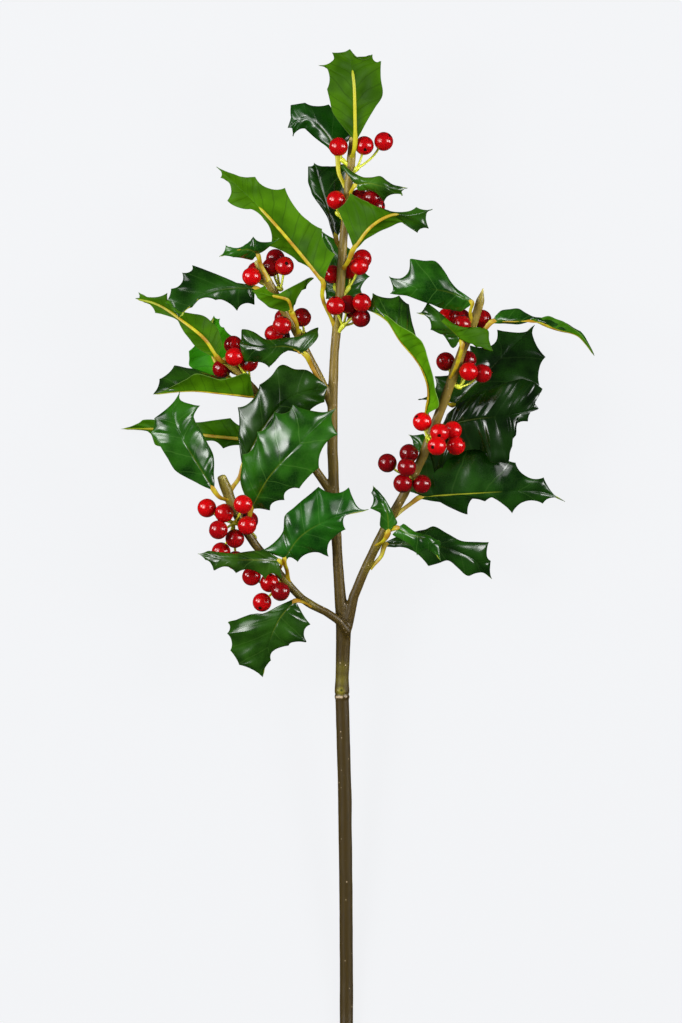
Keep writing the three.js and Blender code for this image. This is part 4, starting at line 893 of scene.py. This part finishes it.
def berry_tree(skin, stalk):
    """Node group: stalks along the curves of a spray, with a berry on the end of each."""
    group = bpy.data.node_groups.new("berry spray", "GeometryNodeTree")
    face = group.interface
    face.new_socket("Spray", in_out="INPUT", socket_type="NodeSocketGeometry")
    for name in ("Berry radius", "Dimple depth", "Dimple spread", "Least ripe", "Ripest"):
        face.new_socket(name, in_out="INPUT", socket_type="NodeSocketFloat")
    face.new_socket("Seed", in_out="INPUT", socket_type="NodeSocketInt")
    face.new_socket("Spray", in_out="OUTPUT", socket_type="NodeSocketGeometry")
    given = add_node(group, "NodeGroupInput").outputs
    thick, bears = (
        add_node(
            group, "GeometryNodeInputNamedAttribute", {"Name": stored}, data_type="FLOAT",
        ).outputs[0]
        for stored in ("thick", "bears")
    )
    lines = add_node(group, "GeometryNodeMeshToCurve", {"Mesh": given["Spray"]})
    circle = add_node(
        group, "GeometryNodeCurvePrimitiveCircle", {"Resolution": TUBE_SIDES, "Radius": 1},
    )
    tubes = add_node(
        group, "GeometryNodeCurveToMesh",
        {
            "Curve": lines.outputs[0], "Profile Curve": circle.outputs[0], "Scale": thick,
            "Fill Caps": True,
        },
    )
    tubes = add_node(
        group, "GeometryNodeSetMaterial", {"Geometry": tubes.outputs[0], "Material": stalk},
    )
    ball = add_node(
        group, "GeometryNodeMeshUVSphere",
        {"Segments": BERRY_SEGMENTS, "Rings": BERRY_RINGS, "Radius": given["Berry radius"]},
    )
    # The dimple: the far pole sinks, less and less with the distance from the axis.
    where = add_node(group, "GeometryNodeInputPosition").outputs[0]
    x, y, z = add_node(group, "ShaderNodeSeparateXYZ", [where]).outputs
    flat = add_node(group, "ShaderNodeCombineXYZ", [x, y])
    off_axis = add_node(group, "ShaderNodeVectorMath", [flat.outputs[0]], operation="LENGTH")
    far_half = add_node(group, "ShaderNodeMath", [z, 0.0], operation="GREATER_THAN")
    sunk = off_axis.outputs["Value"]
    for operation, by in (
        ("DIVIDE", given["Dimple spread"]), ("POWER", 2.0), ("MULTIPLY", -1.0),
        ("EXPONENT", 0.0), ("MULTIPLY", given["Dimple depth"]),
        ("MULTIPLY", far_half.outputs[0]), ("MULTIPLY", -1.0),
    ):
        sunk = add_node(group, "ShaderNodeMath", [sunk, by], operation=operation).outputs[0]
    offset = add_node(group, "ShaderNodeCombineXYZ", {2: sunk}).outputs[0]
    berry = add_node(
        group, "GeometryNodeSetPosition", {"Geometry": ball.outputs[0], "Offset": offset},
    )
    local = add_node(
        group, "ShaderNodeVectorMath", [where, (1 / (BERRY_RADIUS * MM),) * 3],
        operation="MULTIPLY",
    )
    berry = add_node(
        group, "GeometryNodeStoreNamedAttribute",
        {"Geometry": berry.outputs[0], "Name": "spot", "Value": local.outputs[0]},
        data_type="FLOAT_VECTOR", domain="POINT",
    )
    berry = add_node(
        group, "GeometryNodeSetMaterial", {"Geometry": berry.outputs[0], "Material": skin},
    )
    at_end = add_node(
        group, "GeometryNodeCurveEndpointSelection", {"Start Size": 0, "End Size": 1},
    )
    fruiting = add_node(group, "ShaderNodeMath", [at_end.outputs[0], bears], operation="MULTIPLY")
    heading = add_node(group, "GeometryNodeInputTangent").outputs[0]
    turned = add_node(group, "FunctionNodeAlignRotationToVector", {"Vector": heading}, axis="Z")
    berries = add_node(
        group, "GeometryNodeInstanceOnPoints",
        {
            "Points": lines.outputs[0], "Selection": fruiting.outputs[0],
            "Instance": berry.outputs[0], "Rotation": turned.outputs[0],
        },
    )
    chance = add_node(
        group, "FunctionNodeRandomValue",
        {2: given["Least ripe"], 3: given["Ripest"], "Seed": given["Seed"]}, data_type="FLOAT",
    )
    berries = add_node(
        group, "GeometryNodeStoreNamedAttribute",
        {"Geometry": berries.outputs[0], "Name": "ripe", "Value": chance.outputs[1]},
        data_type="FLOAT", domain="INSTANCE",
    )
    joined = add_node(group, "GeometryNodeJoinGeometry")
    group.links.new(tubes.outputs[0], joined.inputs[0])
    group.links.new(berries.outputs[0], joined.inputs[0])
    whole = add_node(group, "GeometryNodeRealizeInstances", {"Geometry": joined.outputs[0]})
    add_node(group, "NodeGroupOutput", {"Spray": whole.outputs[0]})
    return group


# Berry skin: a thin tight wax-smooth fruit skin over red flesh. It shows a small sharp image
# of each lamp, deepens to crimson at the sides, and is black only at the dry end of the flower.
BERRY_RED = colour("#b00205")
BERRY_DARK = colour("#520105")
FLOWER_END = colour("#140806")
FLOWER_END_EDGE = (0.23, 0.17)  # shares of the berry's radius: where it begins, and is full

berry_skin, tree, shader = new_material("holly berry skin, grown")
spot = add_node(tree, "ShaderNodeAttribute", attribute_name="spot").outputs["Vector"]
x, y, z = add_node(tree, "ShaderNodeSeparateXYZ", [spot]).outputs
ripe = add_node(tree, "ShaderNodeAttribute", attribute_name="ripe").outputs["Fac"]
flat = add_node(tree, "ShaderNodeCombineXYZ", [x, y])
off_axis = add_node(tree, "ShaderNodeVectorMath", [flat.outputs[0]], operation="LENGTH")
edge = add_node(tree, "ShaderNodeMapRange", [off_axis.outputs["Value"], *FLOWER_END_EDGE])
far_half = add_node(tree, "ShaderNodeMath", [z, 0.0], operation="GREATER_THAN")
ended = add_node(
    tree, "ShaderNodeMath", [edge.outputs[0], far_half.outputs[0]], operation="MULTIPLY",
)
red = add_node(tree, "ShaderNodeMix", {0: ripe, 6: BERRY_RED, 7: BERRY_DARK}, data_type="RGBA")
berried = add_node(
    tree, "ShaderNodeMix", {0: ended.outputs[0], 6: red.outputs[2], 7: FLOWER_END},
    data_type="RGBA",
)
tree.links.new(berried.outputs[2], shader.inputs["Base Color"])
shader.inputs["Roughness"].default_value = 0.13
shader.inputs["IOR"].default_value = 1.5

# Berry stalk: thin fresh wood, yellow-green and slightly shiny.
BERRY_STALK_GREEN = colour("#c2c230")
BERRY_STALK_DEEP = colour("#9ca822")
STALK_CLOUD_MM = 4

berry_stalk, tree, shader = new_material("berry stalk, grown")
place = add_node(tree, "ShaderNodeTexCoord").outputs["Object"]
cloud = add_node(tree, "ShaderNodeTexNoise", {"Vector": place, "Scale": 1 / (STALK_CLOUD_MM * MM)})
mixed = add_node(
    tree, "ShaderNodeMix", {0: cloud.outputs[0], 6: BERRY_STALK_DEEP, 7: BERRY_STALK_GREEN},
    data_type="RGBA",
)
tree.links.new(mixed.outputs[2], shader.inputs["Base Color"])
shader.inputs["Roughness"].default_value = 0.4


def nodding(axis, chance):
    """The way the flower's end of a berry faces: off its stalk's way, mostly to the ground."""
    aside = unit(np.cross(axis, chance.normal(size=(NOD_TRIES, 3))))
    nod = np.radians(chance.uniform(*NODDING, size=(NOD_TRIES, 1)))
    ways = axis * np.cos(nod) + aside * np.sin(nod)
    lowest = ways[np.argmin(ways[:, 2])]
    return ways[0] if chance.random() < FACING_UP else lowest


def berry_stalk_path(centre, axis, knob, chance):
    """The points of a berry's stalk, from in the knob to the middle of the berry."""
    neck = centre - axis * BERRY_RADIUS
    reach = np.linalg.norm(neck - knob)
    bend = neck - axis * reach / 3 - np.array([0, STALK_SAG * reach, 0])
    root = knob + unit(bend - knob) * ROOT_REACH
    t = np.linspace(0, 1, STALK_POINTS)[:, None]
    path = root * (1 - t) ** 2 + bend * 2 * t * (1 - t) + neck * t * t
    return list(path) + [centre - nodding(axis, chance), centre]


def spray_plan(name, chance):
    """A mesh of the lines of a spray, with how thick each is and whether it bears a berry."""
    feet, knob, berries = spray_parts(name)
    lines = []
    for foot in feet:
        inward = unit(foot - knob)
        stub = [foot + inward * STUB_DEPTH, foot, knob] + [knob - inward * k for k in KNOB_END]
        lines.append((stub, STUB_RADII, 0))
    for centre, axis in berries:
        path = berry_stalk_path(centre, axis, knob, chance)
        lines.append((path, [STALK_RADIUS * share for share in STALK_SHAPE], 1))
    points, thick, bears, edges = [], [], [], []
    for line, radii, bearing in lines:
        edges += [(k, k + 1) for k in range(len(points), len(points) + len(line) - 1)]
        points += line
        thick += radii
        bears += [bearing] * len(line)
    mesh = bpy.data.meshes.new(name)
    mesh.from_pydata(np.array(points) * MM, edges, [])
    mesh.attributes.new("thick", "FLOAT", "POINT").data.foreach_set("value", np.array(thick) * MM)
    mesh.attributes.new("bears", "FLOAT", "POINT").data.foreach_set("value", bears)
    return mesh


spray_group = berry_tree(berry_skin, berry_stalk)
for number, name in enumerate(SPRAY_NODES):
    plan = bpy.data.objects.new(name + "_plan", spray_plan(name, np.random.default_rng(number)))
    bpy.context.collection.objects.link(plan)
    growing = plan.modifiers.new("grow", "NODES")
    growing.node_group = spray_group
    least, most = SPRAY_DARKNESS_RANGES.get(name, RIPENESS)
    settings = {
        "Berry radius": (BERRY_RADIUS + BERRY_SWELLING) * MM,
        "Dimple depth": DIMPLE_DEPTH * MM, "Dimple spread": DIMPLE_SPREAD * MM,
        "Least ripe": least, "Ripest": most, "Seed": number,
    }
    for socket in spray_group.interface.items_tree:
        if socket.name in settings:
            growing[socket.identifier] = settings[socket.name]
    ready = plan.evaluated_get(bpy.context.evaluated_depsgraph_get())
    grown_mesh = bpy.data.meshes.new_from_object(ready)
    bpy.data.objects.remove(plan)
    new_piece(name + "_grown", grown_mesh, name)

# ---- where it lies -------------------------------------------------------------------------
# A plain pale light table, which leaves hardly a shadow, under soft studio light, looked at
# from straight above.

TABLE_SIZE = 12  # m
TABLE_GLOW = 0.925  # strength of its own light, in which shadows all but vanish

bpy.ops.mesh.primitive_plane_add(size=TABLE_SIZE)
table_top = bpy.context.object
table_top.name = "table_top"
# The eye sees its glow, but it neither shows in the wax nor lights the under faces.
table_top.visible_glossy = False
table_top.visible_diffuse = False
table_material, tree, shader = new_material("opal acrylic light table")
shader.inputs["Base Color"].default_value = colour("#3a3b3d")
shader.inputs["Roughness"].default_value = 0.9
shader.inputs["Specular IOR Level"].default_value = 0.1
shader.inputs["Emission Color"].default_value = colour("#f4f5f7")
shader.inputs["Emission Strength"].default_value = TABLE_GLOW
table_top.data.materials.append(table_material)

FILL_ABOVE = 0.75  # soft light, strongest from right above
FILL_AROUND = 0.06
FILL_EDGE = 0.25  # height on the sky, from 0 at the horizon to 1, where it begins
FILL_IN_GLOSS = 0.05  # the room is dark, so only the lamps show in a gloss
BACKDROP = 0.88
world = bpy.data.worlds.new("studio")
world.cycles.sampling_method = "NONE"
bpy.context.scene.world = world
world.use_nodes = True
tree = world.node_tree
tree.nodes.clear()
ray = add_node(tree, "ShaderNodeLightPath").outputs
way = add_node(tree, "ShaderNodeTexCoord").outputs["Generated"]
rise = add_node(tree, "ShaderNodeSeparateXYZ", [way]).outputs["Z"]
fill = add_node(tree, "ShaderNodeMapRange", [rise, FILL_EDGE, 1, FILL_AROUND, FILL_ABOVE])
fill = add_node(
    tree, "ShaderNodeMix", {0: ray["Is Glossy Ray"], 2: fill.outputs[0], 3: FILL_IN_GLOSS},
)
seen = add_node(tree, "ShaderNodeMix", {0: ray["Is Camera Ray"], 2: fill.outputs[0], 3: BACKDROP})
glow = add_node(tree, "ShaderNodeBackground", {"Color": (1, 1, 1, 1), "Strength": seen.outputs[0]})
add_node(tree, "ShaderNodeOutputWorld", {"Surface": glow.outputs[0]})

SOFTBOXES = [  # direction from the sprig, distance and size in m, and power in W
    ((-0.95, 0.29, 0.22), 1.6, 0.5, 9.5),
    ((-0.71, 0.11, 0.70), 1.6, 0.5, 9.5),
    ((0.98, 0.10, 0.24), 1.6, 0.5, 10.5),
    ((0.79, 0.16, 0.59), 1.6, 0.5, 10.5),
    ((-0.70, 0.25, 0.67), 1.5, 1.0, 13.0),
    ((0.72, 0.20, 0.66), 1.5, 0.9, 6.0),
]
MIDDLE = Vector((0, 0.3, 0.04))  # of the leaves, which the lamps face
LOW_LAMP = 0.3  # a lamp lower than this is flagged off the leaves, which would mirror it whole
flagged = bpy.data.collections.new("lit by the low lamps")
for name in ["bark"] + [spray + "_grown" for spray in SPRAY_NODES]:
    flagged.objects.link(bpy.data.objects[name])
for number, (direction, distance, size, power) in enumerate(SOFTBOXES):
    lamp = bpy.data.lights.new(f"softbox_{number}", "AREA")
    lamp.size = size
    lamp.energy = power
    holder = bpy.data.objects.new(lamp.name, lamp)
    bpy.context.collection.objects.link(holder)
    heading = Vector(direction).normalized()
    holder.location = MIDDLE + heading * distance
    holder.rotation_euler = heading.to_track_quat("Z", "Y").to_euler()
    if heading.z < LOW_LAMP:
        holder.light_linking.receiver_collection = flagged

EYE = (-0.00275, 0.26175, 4.5)  # m, looking straight down
FOCAL_LENGTH = 313.2  # mm
SENSOR_WIDTH = 36  # mm
SEEN_TO = 20  # m
lens = bpy.data.cameras.new("camera")
lens.sensor_width = SENSOR_WIDTH
lens.lens = FOCAL_LENGTH
lens.clip_end = SEEN_TO
camera = bpy.data.objects.new("camera", lens)
bpy.context.collection.objects.link(camera)
camera.location = EYE
bpy.context.scene.camera = camera
bpy.context.scene.view_settings.view_transform = "Standard"
